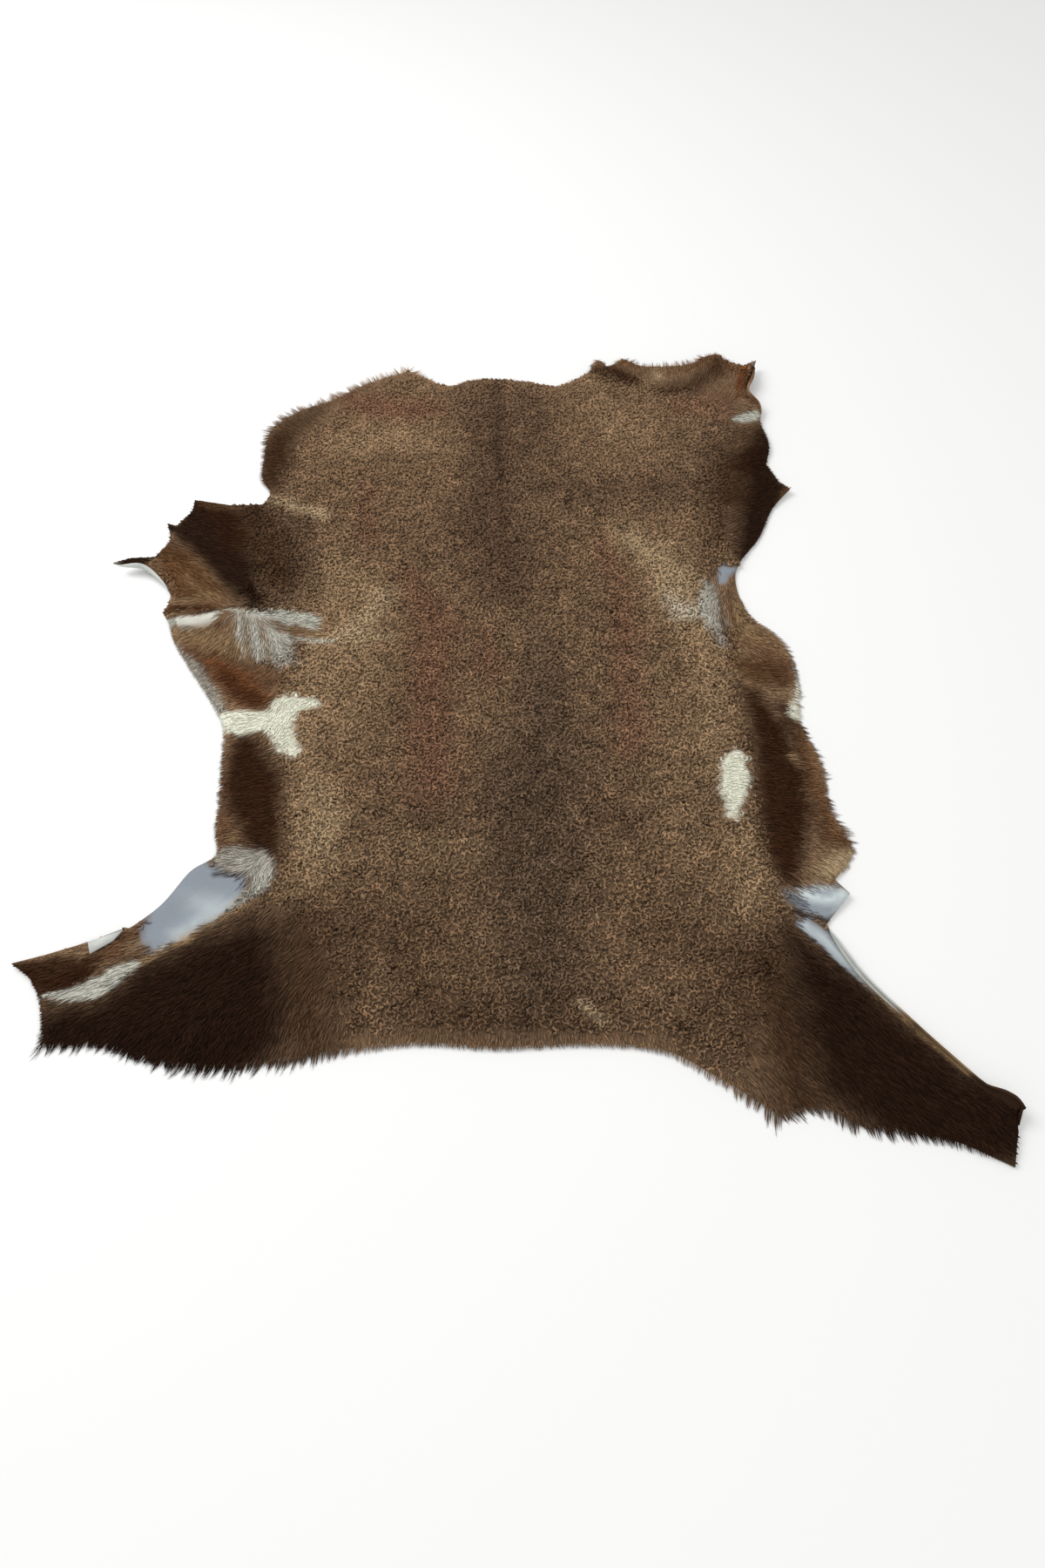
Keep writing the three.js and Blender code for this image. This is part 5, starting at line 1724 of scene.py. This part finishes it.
def rolled_edges(pelt):
    """Skin that turns up and over towards the pelt, so that its flesh side shows."""
    rim = pelt.rim
    places, faces = [], []
    base = 0
    rolled = rim.roll >= ROLL_SMALLEST
    starts = np.flatnonzero(rolled & ~np.roll(rolled, 1))
    for start in starts:
        run = []
        while rolled[(start + len(run)) % len(rolled)]:
            run.append((start + len(run)) % len(rolled))
        if len(run) < ROLL_SHORTEST:
            continue
        fade = np.minimum(np.arange(len(run)) + 1, np.arange(len(run), 0, -1)) / ROLL_FADE
        radius = evened(rim.roll[run] * np.clip(fade, ROLL_END, 1))
        out = evened(rim.out[run])
        out = out / np.linalg.norm(out, axis=1, keepdims=True)
        turned = np.linspace(0, ROLL_TURN, ROLL_STEPS)
        thick = np.minimum(pelt.sizes.skin, radius * ROLL_THICKEST)

        def wall(inner):
            reach = inner[:, None] * np.sin(turned)
            rise = radius[:, None] - inner[:, None] * np.cos(turned)
            lead = np.full((len(run), 1), -ROLL_LEAD)
            return np.hstack([lead, reach]), np.hstack([rise[:, :1], rise])

        outer, inner = wall(radius), wall(radius - thick)
        reach = np.hstack([outer[0], inner[0][:, ::-1]])
        rise = np.hstack([outer[1], inner[1][:, ::-1]]) + rim.lift[run][:, None]
        flat = rim.edge[run][:, None] + out[:, None] * reach[..., None]
        places.append(np.concatenate([flat, rise[..., None]], axis=2).reshape(-1, 3))
        around = reach.shape[1]
        for section in range(len(run) - 1):
            for k in range(around):
                a, b = section * around + k, section * around + (k + 1) % around
                faces.append((base + a, base + a + around, base + b))
                faces.append((base + b, base + a + around, base + b + around))
        end = (len(run) - 1) * around
        for k in range(around // 2 - 1):
            far = around - 1 - k
            faces.append((base + k, base + k + 1, base + far))
            faces.append((base + k + 1, base + far - 1, base + far))
            faces.append((base + end + k, base + end + far, base + end + k + 1))
            faces.append((base + end + k + 1, base + end + far, base + end + far - 1))
        base += len(run) * around
    return np.vstack(places), np.array(faces)


def turned_flap(pelt):
    """The small corner turned over onto the hair, flesh side up."""
    corners = np.array(FLAP, float)
    bottom = pelt.surface(corners[1:2]).top[0] - FLAP_SUNK
    count = len(corners)
    low = np.column_stack([corners, np.full(count, bottom)])
    high = low + [0, 0, FLAP_THICK]
    faces = []
    for k in range(1, count - 1):
        faces += [(0, k + 1, k), (count, count + k, count + k + 1)]
    for k in range(count):
        after = (k + 1) % count
        faces += [(k, after, count + after), (k, count + after, count + k)]
    return np.vstack([low, high]), np.array(faces)


# How far inside the edge the points of the skin start, in steps
SKIN_INSET = 0.6


class MakeSkin(bpy.types.Operator):
    """The tanned skin under everything, with its rolled edges and turned corner"""

    bl_idname = "sheepskin.skin"
    bl_label = "Tanned skin"

    def execute(self, context):
        pelt = part_of(context)
        sizes = pelt.sizes
        spread = honeycomb(sizes.skin_step, 0, SEEDS["ground"])
        inner = spread[pelt.surface(spread).depth > sizes.skin_step * SKIN_INSET]
        places, faces, top_faces = slab(
            pelt.rim.edge, inner, inner,
            lambda flat: pelt.surface(flat).lift + sizes.skin,
            lambda flat: pelt.surface(flat).lift,
        )
        uvs = laid_flat(places, faces, top_faces)
        sheet_count = len(places)
        for more, more_faces in (rolled_edges(pelt), turned_flap(pelt)):
            flat = (more[:, :2] - places[:, :2].min(0)) / np.ptp(places[:, :2], axis=0).max()
            uvs = np.vstack([uvs, flat[more_faces].reshape(-1, 2) * MAP_SIDE + MAP_MARGIN])
            faces = np.vstack([faces, more_faces + len(places)])
            places = np.vstack([places, more])
        mottle = 1 + uneven(places[:, :2], SKIN_MOTTLE, SEEDS["skin mottle"])
        shades = np.array(pelt.colours.flesh) * mottle[:, None]
        seen = as_seen(places[sheet_count:, :2])
        hairy = 1 - np.max([cover(seen, stroke, 0) for stroke in FLESHY + BARE], axis=0)
        hairy[-FLAP_FLESH:] = 0
        coat = pelt.shades(places[sheet_count:, :2])
        shades[sheet_count:] += (coat - shades[sheet_count:]) * hairy[:, None]
        skin = add_piece("pelt_skin", places, faces, shades, uvs, coat_finish(SKIN_SIDE))
        return {"FINISHED"}


# Turn of the camera, and the floor's half width in metres and roughness
CAMERA_TURN = math.radians(-3.38)
FLOOR_HALF = 6.0
FLOOR_ROUGHNESS = 0.9


class Lamp(NamedTuple):
    """A square light: its place in metres when the shadow falls to the right, its size in
    metres, and its share of the key light's power."""

    name: str
    place: tuple
    size: float
    share: float


LAMPS = [Lamp("Key", (-1.5, 0.9, 2.1), 1.6, 1), Lamp("Fill", (0.9, -1.6, 2.2), 2.2, 0.25)]


class MakeStage(bpy.types.Operator):
    """The floor, the soft lights and the camera"""

    bl_idname = "sheepskin.stage"
    bl_label = "Studio"

    def execute(self, context):
        scene = context.scene
        studio = scene.studio_settings
        self.floor(scene)
        world = scene.world or bpy.data.worlds.new("Studio")
        scene.world = world
        world.use_nodes = True
        sky = world.node_tree.nodes["Background"]
        sky.inputs["Color"].default_value = (1, 1, 1, 1)
        sky.inputs["Strength"].default_value = studio.ambient
        for lamp in LAMPS:
            self.light(scene, lamp, studio)
        camera = bpy.data.cameras.new("Camera")
        camera.lens = studio.lens
        eye = bpy.data.objects.new("Camera", camera)
        eye.location = to_frame(np.array([*EYE, EYE_HEIGHT]))
        eye.rotation_euler = (studio.pitch, 0, CAMERA_TURN)
        scene.collection.objects.link(eye)
        scene.camera = eye
        scene.view_settings.view_transform = "Standard"
        return {"FINISHED"}

    def floor(self, scene):
        mesh = bpy.data.meshes.new("floor")
        half = FLOOR_HALF
        corners = [(-half, -half, 0), (half, -half, 0), (half, half, 0), (-half, half, 0)]
        mesh.from_pydata(corners, [], [(0, 1, 2, 3)])
        material = bpy.data.materials.new("Studio floor")
        material.use_nodes = True
        shader = material.node_tree.nodes["Principled BSDF"]
        shader.inputs["Base Color"].default_value = (*scene.coat_colours.floor, 1)
        shader.inputs["Roughness"].default_value = FLOOR_ROUGHNESS
        mesh.materials.append(material)
        floor = bpy.data.objects.new("floor", mesh)
        scene.collection.objects.link(floor)

    def light(self, scene, lamp, studio):
        light = bpy.data.lights.new(lamp.name, "AREA")
        light.size = lamp.size
        light.energy = studio.key * lamp.share
        x, y, z = lamp.place
        lit = bpy.data.objects.new(lamp.name, light)
        lit.location = (x * studio.shadow_side, y, z)
        lit.rotation_euler = (-lit.location).to_track_quat("-Z", "Y").to_euler()
        scene.collection.objects.link(lit)


STEPS = (MakeGround, MakeCurls, MakeHair, MakeFringe, MakeSkin, MakeStage)


class SheepskinPanel(bpy.types.Panel):
    """Sizes, colours and the steps that build the rug"""

    bl_idname = "VIEW3D_PT_sheepskin"
    bl_label = "Sheepskin rug"
    bl_space_type = "VIEW_3D"
    bl_region_type = "UI"
    bl_category = "Sheepskin"

    def draw(self, context):
        scene = context.scene
        for step in STEPS:
            self.layout.operator(step.bl_idname)
        for group in (scene.pelt_sizes, scene.coat_colours, scene.studio_settings):
            box = self.layout.box()
            for name in group.__annotations__:
                box.prop(group, name)


CLASSES = (CoatColours, PeltSizes, StudioSettings, *STEPS, SheepskinPanel)


def register():
    for each in CLASSES:
        bpy.utils.register_class(each)
    bpy.types.Scene.coat_colours = PointerProperty(type=CoatColours)
    bpy.types.Scene.pelt_sizes = PointerProperty(type=PeltSizes)
    bpy.types.Scene.studio_settings = PointerProperty(type=StudioSettings)


def unregister():
    for name in ("coat_colours", "pelt_sizes", "studio_settings"):
        delattr(bpy.types.Scene, name)
    for each in reversed(CLASSES):
        bpy.utils.unregister_class(each)


def main():
    register()
    for step in STEPS:
        getattr(bpy.ops.sheepskin, step.bl_idname.split(".")[1])()


if __name__ == "__main__":
    main()
